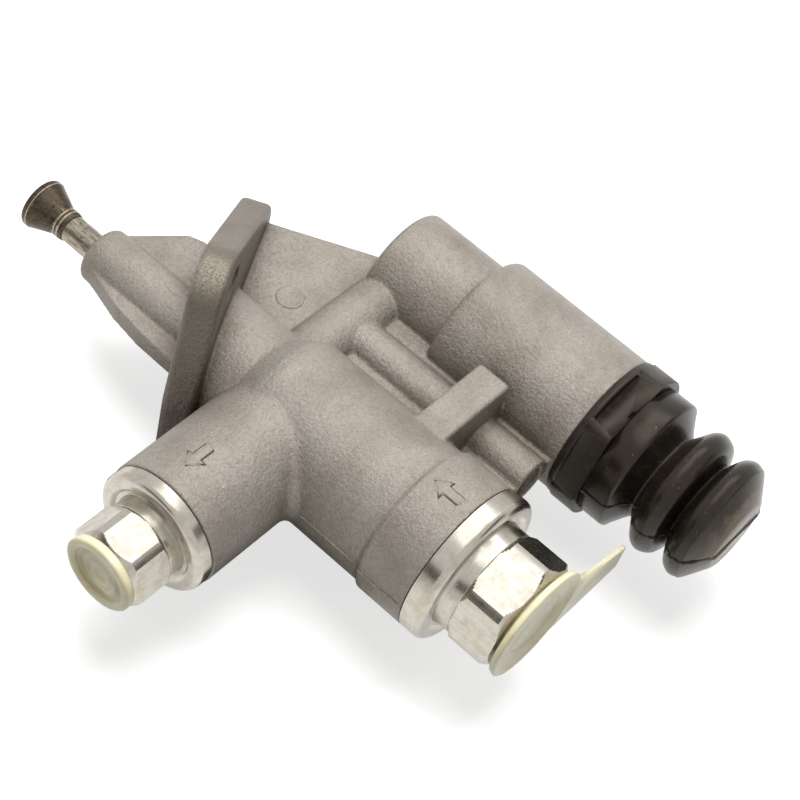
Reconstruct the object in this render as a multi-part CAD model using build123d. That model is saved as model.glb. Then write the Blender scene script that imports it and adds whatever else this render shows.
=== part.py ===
from build123d import *
from math import cos, radians, sin, sqrt, tan
import os

# Cam-driven piston lift pump with a hand primer. Millimetres, +Z up.
# The origin is where the push rod's axis crosses the mounting face of the flange.
# +X runs from the engine side along the pump barrel to the inlet, +Y towards the primer.
# The outlet barrel points along -Y, and every barrel axis lies in the plane z = 0.

# Fits and seats
RUNNING_GAP = 0.05
SEAT_GAP = 0.05
PRESS_GAP = 0.01
LIP_GAP = 0.06
CUT = 1.0

# Flange that bolts to the engine, turned about Z from being square to the push rod
FLANGE_TURN = 27.8
FLANGE_THICKNESS = 8.35
BOLT_SPACING = 45.0
BOLT_HOLE_R = 4.5
UPPER_LOBE_BACK = 5.0
LOWER_LOBE_BACK = 14.5
SIDE_LOBE_BEYOND_BOLT = 1.8
SIDE_LOBE_R = 10.9
WEB_LOBE_REACH = 35.5
WEB_LOBE_R = 9.8
BACK_LOBE_REACH = 13.0
BACK_LOBE_R = 12.8
FLANGE_EDGE_R = 1.4

# Web that joins the barrels in the middle plane of the casting
WEB_THICKNESS = 5.85
WEB_STEP_X = 3.9
WEB_STEP_Y = 4.2
EJECTOR_MARK_R = 3.3
EJECTOR_MARK_DEPTH = 0.35
EJECTOR_MARK_WIDTH = 0.4
EJECTOR_MARK_X = 10.2
EJECTOR_MARK_Y = 25.2

# Push rod, its guide snout and its fins on the engine side
ROD_R = 3.78
SNOUT_R = 7.86
SNOUT_REACH = 33.0
SNOUT_EDGE_R = 1.6
UPPER_FIN_HEIGHT = 21.8
UPPER_FIN_LENGTH = 16.7
LOWER_FIN_HEIGHT = 12.6
FIN_TOE_X = 6.8
FIN_TOE_RISE = 4.2
FIN_KNEE_X = 16.3
FIN_KNEE_RISE = 1.6
FIN_HEEL_X = 25.5
FIN_HEEL_RISE = 0.4
TAPPET_R = 7.1
TAPPET_FACE_X = -55.6
TAPPET_RIM = 1.5
TAPPET_CONE = 6.6
TAPPET_CROWN = 0.5
TAPPET_NECK_R = 4.3
BUSH_WALL = 1.4
BUSH_LENGTH = 25.0
BUSH_RECESS = 1.2

# Seal pocket behind the flange
SEAL_POCKET_R = 7.5
SEAL_POCKET_X = 4.0
SEAL_LENGTH = 6.0
RETAINER_THICKNESS = 1.6
CLIP_THICKNESS = 1.2

# Pump barrel
NECK_R = 15.9
NOSE_START_X = 24.8
NOSE_LENGTH = 7.9
BARREL_R = 20.0
COLLAR_R = 21.0
COLLAR_LENGTH = 15.0
BARREL_END_X = 90.4
BORE_R = 13.0
BORE_START_X = 19.0
PISTON_START_X = 45.5
PISTON_LENGTH = 11.0
PISTON_FLOOR = 5.0
PISTON_RING_R = 1.2
PISTON_RING_BACK = 2.5
SPRING_SEAT_R = 10.2
PISTON_SPRING_WIRE = 1.5
PISTON_SPRING_R = 8.4

# Outlet barrel
OUTLET_X = 37.0
OUTLET_STEP = 3.2
OUTLET_R = BARREL_R - OUTLET_STEP
OUTLET_END = 46.6
VALLEY_R = 3.0

# Cross tube, channel tube and drilled block between the two long barrels
CROSS_X = 25.4
CROSS_R = 8.0
CROSS_REACH = 42.0
CHANNEL_Y = 30.3
CHANNEL_R = 6.6
CHANNEL_END_X = 88.1
GALLERY_R = 3.0
GALLERY_MOUTH_R = 4.5
GALLERY_MOUTH_DEPTH = 1.8
BLOCK_X = 66.1
BLOCK_LENGTH = 9.8
BLOCK_END_Y = 38.0
BLOCK_TOP_Z = 16.0
DRILLING_R = 2.5
LUG_START_X = 33.0

# Primer barrel
PRIMER_Y = 57.9
PRIMER_SMALL_R = 16.6
PRIMER_SMALL_X = 19.4
PRIMER_SMALL_EDGE_R = 1.6
PRIMER_LARGE_R = 20.35
PRIMER_LARGE_X = 45.2
PRIMER_END_X = 89.4
PRIMER_SHOULDER_R = 2.4
PRIMER_BORE_R = 9.0
PRIMER_BORE_X = 34.0
PRIMER_NEST_R = 15.5
PRIMER_NEST_X = 60.0

# Raised flow arrows
ARROW_RISE = 0.35
ARROW_ROOT = 2.0
ARROW_SHAFT = 5.3
ARROW_HEAD = 2.9
ARROW_SHAFT_HALF = 0.8
ARROW_HEAD_HALF = 2.2

# Screwed fittings: one set of values for the inlet and one for the outlet
INLET_RIM = 6.4
INLET_HEX_FLATS = 28.6
INLET_BAR_R = 15.87
INLET_HEX_START = 10.6
INLET_LENGTH = 22.5
INLET_SPIGOT_R = 15.4
INLET_SPIGOT_DEPTH = 13.0
INLET_CHAMBER_R = 8.6
INLET_PORT_R = 9.0
INLET_PORT_DEPTH = 11.0
INLET_PASSAGE_R = 5.5
INLET_HEX_TURN = 20.0

OUTLET_RIM = 4.6
OUTLET_DISC_R = OUTLET_R - 0.3
OUTLET_HEX_FLATS = 20.8
OUTLET_BAR_R = 11.41
OUTLET_HEX_START = 8.0
OUTLET_LENGTH = 19.0
OUTLET_SPIGOT_R = 12.3
OUTLET_SPIGOT_DEPTH = 12.1
OUTLET_CHAMBER_R = 6.6
OUTLET_PORT_R = 6.8
OUTLET_PORT_DEPTH = 9.0
OUTLET_PASSAGE_R = 4.2
OUTLET_HEX_TURN = 49.0
OUTLET_VALVE_CHAMBER_R = 9.0

# Check valves: a head on a stem, a cage that guides the stem, and a light spring
STEM_R = 1.5
HEAD_THICKNESS = 1.6
HEAD_LAND = 1.8
CAGE_THICKNESS = 2.6
CAGE_HUB_R = 3.1
CAGE_HUB_LENGTH = 4.0
INLET_VALVE_ROOM = 7.0
OUTLET_VALVE_ROOM = 3.5
STEM_RECESS = 0.4
STEM_BEYOND = 1.5
VALVE_SPRING_WIRE = 0.7
VALVE_SPRING_R = 4.4

# Rings of round section and their grooves
O_RING_R = 1.2
RING_GROOVE_GAP = 0.15
RING_NIP = 0.03
FITTING_RING_BACK = 2.9
COLLAR_RING_BACK = 4.0
PRIMER_SEAL_IN = 5.0

# Gallery check valve and plug
TRANSFER_STEP_R = 2.0
TRANSFER_STEP_X = 42.0
TRANSFER_BALL_R = 2.4
TRANSFER_SEAT_X = 56.0
TRANSFER_SEAT_LENGTH = 4.0
TRANSFER_SEAT_HOLE_R = 1.6
PLUG_X = 80.5
PLUG_LENGTH = 4.0
PLUG_WALL = 0.8

# Protective plastic caps in the two ports
INLET_CAP_R = 15.9
INLET_CAP_THICKNESS = 1.7
INLET_CAP_STANDOFF = 1.2
INLET_CAP_BEAD = 1.8
INLET_CAP_DISH_R = 9.6
INLET_PLUG_LENGTH = 7.0
PULL_TAB_REACH = 38.5
OUTLET_CAP_R = 10.2
OUTLET_CAP_THICKNESS = 2.1
OUTLET_CAP_BEAD = 2.4
OUTLET_CAP_DISH = 0.9
OUTLET_PLUG_LENGTH = 6.0
CAP_WALL = 1.0

# Hand primer
COLLAR_RIM = 1.9
COLLAR_RIM_R = 20.6
COLLAR_FLATS = 37.0
COLLAR_CORNER_R = 21.1
COLLAR_HEX_LENGTH = 6.8
COLLAR_FLAT_TURN = 11.0
COLLAR_UNDERCUT_LENGTH = 17.0
COLLAR_UNDERCUT_WIDTH = 0.5
COLLAR_NOTCH = 2.6
COLLAR_SPIGOT_R = 15.4
COLLAR_SPIGOT_DEPTH = 20.0
PLUNGER_R = 6.5
PLUNGER_START_X = 52.0
BUTTON_R = 8.4
BUTTON_THICKNESS = 3.0
BOOT_WALL = 1.7
BOOT_CUFF_R = 19.1
BOOT_CUFF_LENGTH = 7.8
BOOT_VALLEY_R = 12.6
BOOT_RIDGE_R = 18.2
BOOT_WAIST_R = 12.3
BOOT_CONE_R = 17.7
BOOT_END_R = 9.8
BOOT_LENGTH = 36.0
PRIMER_SPRING_WIRE = 1.1
PRIMER_SPRING_R = 7.4

FLANGE_NORMAL = (cos(radians(FLANGE_TURN)), sin(radians(FLANGE_TURN)), 0)
FLANGE_ALONG = (-sin(radians(FLANGE_TURN)), cos(radians(FLANGE_TURN)), 0)
FLANGE_CROSSING = FLANGE_THICKNESS / cos(radians(FLANGE_TURN))
MOUNTING_PLANE = Plane(origin=(0, 0, 0), x_dir=FLANGE_ALONG, z_dir=FLANGE_NORMAL)
PRIMER_AXIS = Pos(0, PRIMER_Y, 0)
OUTLET_AXIS = Pos(OUTLET_X, 0, 0) * Rot(0, 0, -90)
CHANNEL_AXIS = Pos(0, CHANNEL_Y, 0)


def turned(*stations):
    """Solid of revolution about X from (distance along the axis, radius) stations."""
    outline = [(stations[0][0], 0), *stations, (stations[-1][0], 0)]
    return revolve(Plane.XY * make_face(Polyline(*outline, close=True)), Axis.X)


def rod_x(start, end, radius):
    """Round bar along X between two stations."""
    return turned((start, radius), (end, radius))


def tube_x(start, end, outer, inner):
    """Round tube along X between two stations."""
    return rod_x(start, end, outer) - rod_x(start, end, inner)


def circles_at(solid, station, radius):
    """Circular edges about the X axis of the solid's own frame, at one station and radius."""
    rims = solid.edges().filter_by(GeomType.CIRCLE)
    return rims.filter_by(lambda e: abs(e.arc_center.X - station) < 0.02 and abs(e.radius - radius) < 0.02)


def ring_x(station, centre_r, section_r):
    """Seal ring about X, its middle plane at the station."""
    section = Plane.XY * Pos(station, centre_r) * RegularPolygon(section_r, 8, rotation=22.5)
    return revolve(section, Axis.X)


def coil_spring(start, end, coil_r, wire, turns):
    """Compression spring along X with its wire's outer faces at the two stations."""
    length = end - start - wire
    path = Helix(pitch=length / turns, height=length, radius=coil_r)
    path = Pos(start + wire / 2, 0, 0) * Rot(0, 90, 0) * path
    section = Plane(origin=path @ 0, z_dir=path % 0) * RegularPolygon(wire / 2, 6)
    return sweep(section, path=path, is_frenet=True)


def hex_bar(start, end, flats, bar_r, chamfer, turn):
    """Hexagon milled on round bar, so that its corners stay round, chamfered at both ends."""
    bar = turned(
        (start, bar_r - chamfer),
        (start + chamfer / 2, bar_r),
        (end - chamfer / 2, bar_r),
        (end, bar_r - chamfer),
    )
    hexagon = RegularPolygon(radius=flats / 2, side_count=6, major_radius=False)
    prism = extrude(Plane.YZ.offset(start) * Rot(0, 0, turn) * hexagon, end - start)
    return bar & prism


def flange_plate():
    """Two-bolt plate: two side lobes around the bolts, one under the web and one towards the outlet."""
    side = BOLT_SPACING / 2 + SIDE_LOBE_BEYOND_BOLT
    lobes = Sketch() + [
        Pos(-UPPER_LOBE_BACK, side) * Circle(SIDE_LOBE_R),
        Pos(-LOWER_LOBE_BACK, -side) * Circle(SIDE_LOBE_R),
        Pos(WEB_LOBE_REACH, 0) * Circle(WEB_LOBE_R),
        Pos(-BACK_LOBE_REACH, 0) * Circle(BACK_LOBE_R),
    ]
    outline = make_hull(lobes.edges())
    plate = extrude(MOUNTING_PLANE * outline, FLANGE_THICKNESS)
    faces = plate.faces().filter_by(lambda f: abs(abs(f.normal_at().dot(Vector(*FLANGE_NORMAL))) - 1) < 0.001)
    return fillet(faces.edges(), FLANGE_EDGE_R)


def web_sheet(*points):
    """Flat sheet of the casting in its middle plane."""
    sheet = make_face(Polyline(*points, close=True))
    return extrude(Pos(0, 0, -WEB_THICKNESS / 2) * sheet, WEB_THICKNESS)


def flange_x(y):
    """Where the middle of the flange's thickness lies at a distance y from the rod's axis."""
    return FLANGE_CROSSING / 2 - y * tan(radians(FLANGE_TURN))


def fins():
    """Fins on both sides of the snout, longer towards the primer."""
    upper = web_sheet(
        (-SNOUT_REACH + SNOUT_EDGE_R, 0),
        (-SNOUT_REACH + SNOUT_EDGE_R, SNOUT_R - 0.3),
        (-UPPER_FIN_LENGTH - 4.5, UPPER_FIN_HEIGHT - 1.6),
        (-UPPER_FIN_LENGTH, UPPER_FIN_HEIGHT),
        (flange_x(UPPER_FIN_HEIGHT), UPPER_FIN_HEIGHT),
        (flange_x(0), 0),
    )
    lower = web_sheet(
        (-SNOUT_REACH + SNOUT_EDGE_R, 0),
        (-SNOUT_REACH + SNOUT_EDGE_R, -SNOUT_R + 0.8),
        (-SNOUT_REACH + FIN_TOE_X, -LOWER_FIN_HEIGHT + FIN_TOE_RISE),
        (-SNOUT_REACH + FIN_KNEE_X, -LOWER_FIN_HEIGHT + FIN_KNEE_RISE),
        (-SNOUT_REACH + FIN_HEEL_X, -LOWER_FIN_HEIGHT + FIN_HEEL_RISE),
        (flange_x(-LOWER_FIN_HEIGHT), -LOWER_FIN_HEIGHT),
        (flange_x(0), 0),
    )
    return upper + lower


def webs():
    """Web from the flange to the primer barrel, and between the long barrels."""
    reach = WEB_LOBE_REACH + WEB_LOBE_R - FLANGE_EDGE_R / 2
    outer_x = FLANGE_CROSSING - reach * sin(radians(FLANGE_TURN))
    outer_y = reach * cos(radians(FLANGE_TURN))
    to_flange = web_sheet(
        (FLANGE_CROSSING - 1, 0),
        (outer_x, outer_y),
        (PRIMER_SMALL_X - WEB_STEP_X, PRIMER_Y - WEB_STEP_Y),
        (CROSS_X, PRIMER_Y),
        (CROSS_X, 0),
    )
    between = web_sheet(
        (CROSS_X, 0),
        (CROSS_X, CHANNEL_Y + CHANNEL_R),
        (LUG_START_X, CHANNEL_Y + CHANNEL_R),
        (LUG_START_X, PRIMER_Y),
        (CHANNEL_END_X, PRIMER_Y),
        (CHANNEL_END_X, 0),
    )
    return to_flange + between


def pump_body_outside():
    """Outside of the casting, with the rounded valleys where its barrels run into each other."""
    nose_end = NOSE_START_X + NOSE_LENGTH
    collar_x = BARREL_END_X - COLLAR_LENGTH
    step = COLLAR_R - BARREL_R
    barrel = turned(
        (NOSE_START_X, NECK_R),
        (nose_end - 2.4, BARREL_R - 0.7),
        (nose_end, BARREL_R),
        (collar_x, BARREL_R),
        (collar_x + step, COLLAR_R),
        (BARREL_END_X, COLLAR_R),
    )
    outlet = OUTLET_AXIS * rod_x(0, OUTLET_END, OUTLET_R)
    casting = barrel + outlet
    casting = fillet(new_edges(barrel, outlet, combined=casting), VALLEY_R)

    reach = 2 * (WEB_LOBE_REACH + WEB_LOBE_R)
    behind = MOUNTING_PLANE * Pos(0, 0, FLANGE_THICKNESS / 2 - BARREL_R) * Box(reach, reach, 2 * BARREL_R)
    neck = rod_x(FLANGE_CROSSING / 2 - NECK_R * tan(radians(FLANGE_TURN)), nose_end, NECK_R) - behind
    snout = rod_x(-SNOUT_REACH, FLANGE_CROSSING, SNOUT_R)
    snout = fillet(circles_at(snout, -SNOUT_REACH, SNOUT_R), SNOUT_EDGE_R)

    cross = Pos(CROSS_X, 0, 0) * Rot(0, 0, 90) * rod_x(0, CROSS_REACH, CROSS_R)
    cross += Pos(CROSS_X, CROSS_REACH, 0) * Sphere(CROSS_R)
    channel = CHANNEL_AXIS * rod_x(CROSS_X, CHANNEL_END_X, CHANNEL_R)
    block = Pos(BLOCK_X, (BARREL_R / 2 + BLOCK_END_Y) / 2, (BLOCK_TOP_Z - CHANNEL_R) / 2)
    block *= Box(BLOCK_LENGTH, BLOCK_END_Y - BARREL_R / 2, BLOCK_TOP_Z + CHANNEL_R)
    block = fillet(block.edges(), 0.9)

    primer = turned(
        (PRIMER_SMALL_X, PRIMER_SMALL_R),
        (PRIMER_LARGE_X, PRIMER_SMALL_R),
        (PRIMER_LARGE_X, PRIMER_LARGE_R),
        (PRIMER_END_X, PRIMER_LARGE_R),
    )
    primer = fillet(circles_at(primer, PRIMER_SMALL_X, PRIMER_SMALL_R), PRIMER_SMALL_EDGE_R)
    primer = fillet(circles_at(primer, PRIMER_LARGE_X, PRIMER_LARGE_R), PRIMER_SHOULDER_R)
    primer = PRIMER_AXIS * primer

    casting += [neck, snout, cross, channel, block, primer, flange_plate(), fins(), webs()]
    return casting


def flow_arrow(height):
    """Raised flow arrow, seen from above, pointing along -X from its tail at the origin."""
    tip = -ARROW_SHAFT - ARROW_HEAD
    shaft = Pos(-ARROW_SHAFT / 2, 0) * Rectangle(ARROW_SHAFT, 2 * ARROW_SHAFT_HALF)
    barbs = [(tip, 0), (-ARROW_SHAFT, ARROW_HEAD_HALF), (-ARROW_SHAFT, -ARROW_HEAD_HALF)]
    return extrude(shaft + make_face(Polyline(*barbs, close=True)), height)


def pump_body():
    """Die-cast body with its bores and drillings."""
    casting = pump_body_outside()
    arrow = flow_arrow(ARROW_ROOT)
    inlet_arrow = Pos(BARREL_END_X - 3.2, -1.4, COLLAR_R + ARROW_RISE - ARROW_ROOT) * arrow
    outlet_arrow = Pos(OUTLET_X - 1.3, -OUTLET_END + 15.0, OUTLET_R + ARROW_RISE - ARROW_ROOT)
    outlet_arrow *= Rot(0, 0, 90) * arrow
    casting += [inlet_arrow, outlet_arrow]

    mark = tube_x(0, EJECTOR_MARK_DEPTH + CUT, EJECTOR_MARK_R, EJECTOR_MARK_R - EJECTOR_MARK_WIDTH)
    floor = WEB_THICKNESS / 2 - EJECTOR_MARK_DEPTH
    casting -= Pos(EJECTOR_MARK_X, EJECTOR_MARK_Y, floor) * Rot(0, -90, 0) * mark

    bush_end = -SNOUT_REACH + BUSH_RECESS + BUSH_LENGTH
    bores = [
        rod_x(-SNOUT_REACH - 1, bush_end, ROD_R + RUNNING_GAP + BUSH_WALL),
        rod_x(bush_end - 1, SEAL_POCKET_X + 1, ROD_R + 0.5),
        rod_x(SEAL_POCKET_X, BORE_START_X + 1, SEAL_POCKET_R),
        rod_x(BORE_START_X, BARREL_END_X - INLET_SPIGOT_DEPTH, BORE_R),
        rod_x(inlet_step_x(), BARREL_END_X + 1, INLET_SPIGOT_R + SEAT_GAP),
        OUTLET_AXIS * rod_x(0, outlet_step(), OUTLET_PASSAGE_R),
        OUTLET_AXIS * rod_x(outlet_seat(), outlet_step() + 1, OUTLET_VALVE_CHAMBER_R),
        OUTLET_AXIS * rod_x(outlet_step(), OUTLET_END + 1, OUTLET_SPIGOT_R + SEAT_GAP),
        Pos(CROSS_X, 0, 0) * Rot(0, 0, 90) * rod_x(0, CHANNEL_Y, DRILLING_R),
        CHANNEL_AXIS * rod_x(CROSS_X, TRANSFER_STEP_X + 1, TRANSFER_STEP_R),
        CHANNEL_AXIS * rod_x(TRANSFER_STEP_X, CHANNEL_END_X + 1, GALLERY_R),
        CHANNEL_AXIS * rod_x(CHANNEL_END_X - GALLERY_MOUTH_DEPTH, CHANNEL_END_X + 1, GALLERY_MOUTH_R),
        Pos(BLOCK_X, 0, 0) * Rot(0, 0, 90) * rod_x(0, PRIMER_Y, DRILLING_R),
        PRIMER_AXIS * rod_x(PRIMER_BORE_X, PRIMER_NEST_X + 1, PRIMER_BORE_R),
        PRIMER_AXIS * rod_x(PRIMER_NEST_X, PRIMER_END_X + 1, PRIMER_NEST_R),
    ]
    for side in (1, -1):
        middle = Pos(0, side * BOLT_SPACING / 2, FLANGE_THICKNESS / 2)
        bores.append(MOUNTING_PLANE * middle * Cylinder(BOLT_HOLE_R, 2 * FLANGE_THICKNESS))
    casting -= bores
    return casting


def inlet_step_x():
    """Step in the pump barrel that the inlet valve cage stands on."""
    return BARREL_END_X - INLET_SPIGOT_DEPTH - CAGE_THICKNESS - SEAT_GAP


def outlet_step():
    """Step in the outlet barrel that the outlet valve cage stands on."""
    return OUTLET_END - OUTLET_SPIGOT_DEPTH - CAGE_THICKNESS - SEAT_GAP


def outlet_seat():
    """Seat in the casting that the outlet valve closes on."""
    return outlet_step() - CAGE_HUB_LENGTH - OUTLET_VALVE_ROOM - HEAD_THICKNESS


def pushrod():
    """Push rod with its flared tappet head, running in to the piston."""
    neck_x = TAPPET_FACE_X + TAPPET_CROWN + TAPPET_RIM + TAPPET_CONE
    rod = turned(
        (TAPPET_FACE_X, TAPPET_R * 0.45),
        (TAPPET_FACE_X + TAPPET_CROWN, TAPPET_R - 0.3),
        (TAPPET_FACE_X + TAPPET_CROWN + 0.3, TAPPET_R),
        (TAPPET_FACE_X + TAPPET_CROWN + TAPPET_RIM, TAPPET_R),
        (neck_x, TAPPET_NECK_R),
        (neck_x + 0.5, TAPPET_NECK_R),
        (neck_x + 0.7, TAPPET_NECK_R - 0.3),
        (neck_x + 1.0, TAPPET_NECK_R - 0.3),
        (neck_x + 1.2, TAPPET_NECK_R),
        (neck_x + 3.2, TAPPET_NECK_R - 0.2),
        (neck_x + 3.6, ROD_R),
        (PISTON_START_X - SEAT_GAP, ROD_R),
    )
    start = clip_x() - SEAT_GAP
    end = clip_x() + CLIP_THICKNESS + SEAT_GAP
    return rod - tube_x(start, end, ROD_R + CUT, ROD_R - 0.8)


def clip_x():
    """Where the rod's clip lies when the rod stands fully out, against the seal retainer."""
    return SEAL_POCKET_X + SEAL_LENGTH + RETAINER_THICKNESS + 3 * SEAT_GAP


def pushrod_bush():
    """Guide bush pressed into the snout."""
    start = -SNOUT_REACH + BUSH_RECESS
    inner = ROD_R + RUNNING_GAP
    bush = tube_x(start, start + BUSH_LENGTH - SEAT_GAP, inner + BUSH_WALL - PRESS_GAP, inner)
    return chamfer(circles_at(bush, start, inner), 0.4)


def pushrod_seal():
    """Lip seal around the rod, with its lips turned to the fuel."""
    start = SEAL_POCKET_X + SEAT_GAP
    end = start + SEAL_LENGTH
    outer = SEAL_POCKET_R - PRESS_GAP
    lip = ROD_R + LIP_GAP
    outline = Polyline(
        (start, outer),
        (start, lip + 0.7),
        (start + 1.2, lip),
        (start + 1.8, lip + 0.9),
        (start + 2.6, lip + 0.9),
        (end - 1.0, lip),
        (end, lip + 0.4),
        (end - 1.6, lip + 1.7),
        (end - 1.6, outer - 1.1),
        (end, outer),
        close=True,
    )
    return revolve(make_face(outline), Axis.X)


def seal_retainer():
    """Washer staked behind the seal, which also stops the rod's clip."""
    start = SEAL_POCKET_X + SEAL_LENGTH + 2 * SEAT_GAP
    return tube_x(start, start + RETAINER_THICKNESS, SEAL_POCKET_R - PRESS_GAP, ROD_R + 0.4)


def pushrod_clip():
    """Open spring clip in the rod's groove."""
    clip = tube_x(clip_x(), clip_x() + CLIP_THICKNESS, SEAL_POCKET_R - 1.2, ROD_R - 0.75)
    return clip - Pos(clip_x(), 0, -SEAL_POCKET_R / 2) * Box(4 * CLIP_THICKNESS, ROD_R, SEAL_POCKET_R)


def pump_piston():
    """Piston that the push rod drives, hollow at the front for its spring."""
    end = PISTON_START_X + PISTON_LENGTH
    outer = BORE_R - RUNNING_GAP
    piston = rod_x(PISTON_START_X, end, outer)
    piston = chamfer(circles_at(piston, PISTON_START_X, outer) + circles_at(piston, end, outer), 0.5)
    piston -= rod_x(PISTON_START_X + PISTON_FLOOR, end + CUT, SPRING_SEAT_R)
    groove = PISTON_START_X + PISTON_RING_BACK
    half = PISTON_RING_R + RING_GROOVE_GAP
    floor = BORE_R - 4 * PRESS_GAP - 2 * PISTON_RING_R
    return piston - tube_x(groove - half, groove + half, outer + CUT, floor)


def piston_ring():
    """Rubber ring in the piston's groove."""
    return ring_x(PISTON_START_X + PISTON_RING_BACK, BORE_R - 2 * PRESS_GAP - PISTON_RING_R, PISTON_RING_R)


def piston_spring():
    """Spring that returns the piston and the push rod."""
    start = PISTON_START_X + PISTON_FLOOR + SEAT_GAP
    return coil_spring(start, inlet_step_x() - SEAT_GAP, PISTON_SPRING_R, PISTON_SPRING_WIRE, 4.5)


def ring_groove(station, spigot_r):
    """Square groove around a spigot for a ring of round section."""
    half = O_RING_R + RING_GROOVE_GAP
    return tube_x(station - half, station + half, spigot_r + CUT, spigot_r - 2 * O_RING_R)


def fitting(end, rim, length, hex_start, flats, bar_r, turn, disc_r, spigot_r, spigot_depth):
    """Screwed fitting before its bores: spigot, disc with a rounded rim, neck and milled hexagon."""
    disc = turned(
        (end, disc_r),
        (end + rim, disc_r),
        (end + rim, bar_r + 0.9),
        (end + rim - 0.9, bar_r - 0.5),
        (end + rim + 1.6, bar_r - 0.9),
        (end + hex_start - 0.4, bar_r - 0.9),
    )
    disc = fillet(circles_at(disc, end + rim, disc_r), 1.3)
    head = hex_bar(end + hex_start - 1.2, end + length, flats, bar_r, 1.5, turn)
    spigot = rod_x(end - spigot_depth, end + 1, spigot_r)
    spigot = chamfer(circles_at(spigot, end - spigot_depth, spigot_r), 0.6)
    spigot -= ring_groove(end - FITTING_RING_BACK, spigot_r)
    return disc + head + spigot


def inlet_fitting():
    """Inlet fitting with a threaded port, a valve seat and a spigot in the pump barrel."""
    end = BARREL_END_X
    body = fitting(
        end, INLET_RIM, INLET_LENGTH, INLET_HEX_START, INLET_HEX_FLATS, INLET_BAR_R, INLET_HEX_TURN,
        COLLAR_R, INLET_SPIGOT_R, INLET_SPIGOT_DEPTH,
    )
    front = end + INLET_LENGTH
    body -= rod_x(end - INLET_SPIGOT_DEPTH - 1, inlet_seat_x(), INLET_CHAMBER_R)
    body -= rod_x(inlet_seat_x() - 1, front, INLET_PASSAGE_R)
    body -= rod_x(front - INLET_PORT_DEPTH, front + 1, INLET_PORT_R)
    return chamfer(circles_at(body, front, INLET_PORT_R), 0.8)


def inlet_seat_x():
    """Seat in the inlet fitting that the inlet valve closes on."""
    return BARREL_END_X - INLET_SPIGOT_DEPTH + CAGE_HUB_LENGTH + INLET_VALVE_ROOM


def outlet_fitting():
    """Outlet fitting with a threaded port and a spigot in the outlet barrel."""
    end = OUTLET_END
    body = fitting(
        end, OUTLET_RIM, OUTLET_LENGTH, OUTLET_HEX_START, OUTLET_HEX_FLATS, OUTLET_BAR_R, OUTLET_HEX_TURN,
        OUTLET_DISC_R, OUTLET_SPIGOT_R, OUTLET_SPIGOT_DEPTH,
    )
    front = end + OUTLET_LENGTH
    body -= rod_x(end - OUTLET_SPIGOT_DEPTH - 1, end - 1.5, OUTLET_CHAMBER_R)
    body -= rod_x(end - 3, front, OUTLET_PASSAGE_R)
    body -= rod_x(front - OUTLET_PORT_DEPTH, front + 1, OUTLET_PORT_R)
    return OUTLET_AXIS * chamfer(circles_at(body, front, OUTLET_PORT_R), 0.6)


def fitting_ring(end, spigot_r):
    """Sealing ring in a fitting's spigot groove."""
    return ring_x(end - FITTING_RING_BACK, spigot_r + RING_NIP - O_RING_R, O_RING_R)


def valve_cage(step, outer_r):
    """Disc with six flow holes and a hub that guides the valve stem."""
    near = step + SEAT_GAP
    far = near + CAGE_THICKNESS - SEAT_GAP
    disc = rod_x(near, far, outer_r)
    hub = rod_x(near, far + CAGE_HUB_LENGTH, CAGE_HUB_R)
    cage = disc + hub - rod_x(near - 1, far + CAGE_HUB_LENGTH + 1, STEM_R + RUNNING_GAP)
    holes_r = (CAGE_HUB_R + outer_r) / 2
    hole_r = (outer_r - CAGE_HUB_R) / 2 - 2.0
    for turn in range(6):
        cage -= Rot(turn * 60, 0, 0) * Pos(0, holes_r, 0) * rod_x(near - 1, far + 1, hole_r)
    return cage


def poppet(seat, side, seat_r, stem_end):
    """Valve with a flat head on its seat and a stem that runs in the cage's hub."""
    face = seat + side * SEAT_GAP
    back = face + side * HEAD_THICKNESS
    low, high = sorted((face, back))
    head = rod_x(low, high, seat_r + HEAD_LAND)
    head = chamfer(circles_at(head, back, seat_r + HEAD_LAND), 0.4)
    stem_low, stem_high = sorted((face, stem_end))
    return head + rod_x(stem_low, stem_high, STEM_R)


def transfer_seat():
    """Seat bush pressed into the gallery."""
    end = TRANSFER_SEAT_X + TRANSFER_SEAT_LENGTH
    return CHANNEL_AXIS * tube_x(TRANSFER_SEAT_X, end, GALLERY_R - PRESS_GAP, TRANSFER_SEAT_HOLE_R)


def transfer_ball_x():
    """Centre of the ball when it lies on the seat's edge."""
    return TRANSFER_SEAT_X - sqrt(TRANSFER_BALL_R**2 - TRANSFER_SEAT_HOLE_R**2) - 0.03


def transfer_ball():
    """Ball of the gallery check valve."""
    return CHANNEL_AXIS * Pos(transfer_ball_x(), 0, 0) * Sphere(TRANSFER_BALL_R)


def transfer_spring():
    """Light spring that holds the ball on its seat."""
    end = transfer_ball_x() - TRANSFER_BALL_R + 0.55
    return CHANNEL_AXIS * coil_spring(TRANSFER_STEP_X + SEAT_GAP, end, GALLERY_R - 0.75, 0.5, 4.5)


def gallery_plug():
    """Cup plug that closes the drilled gallery, a little way in from its open end."""
    plug = rod_x(PLUG_X, PLUG_X + PLUG_LENGTH, GALLERY_R - PRESS_GAP)
    return CHANNEL_AXIS * (plug - rod_x(PLUG_X + PLUG_WALL, PLUG_X + PLUG_LENGTH + CUT, GALLERY_R - PLUG_WALL))


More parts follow.
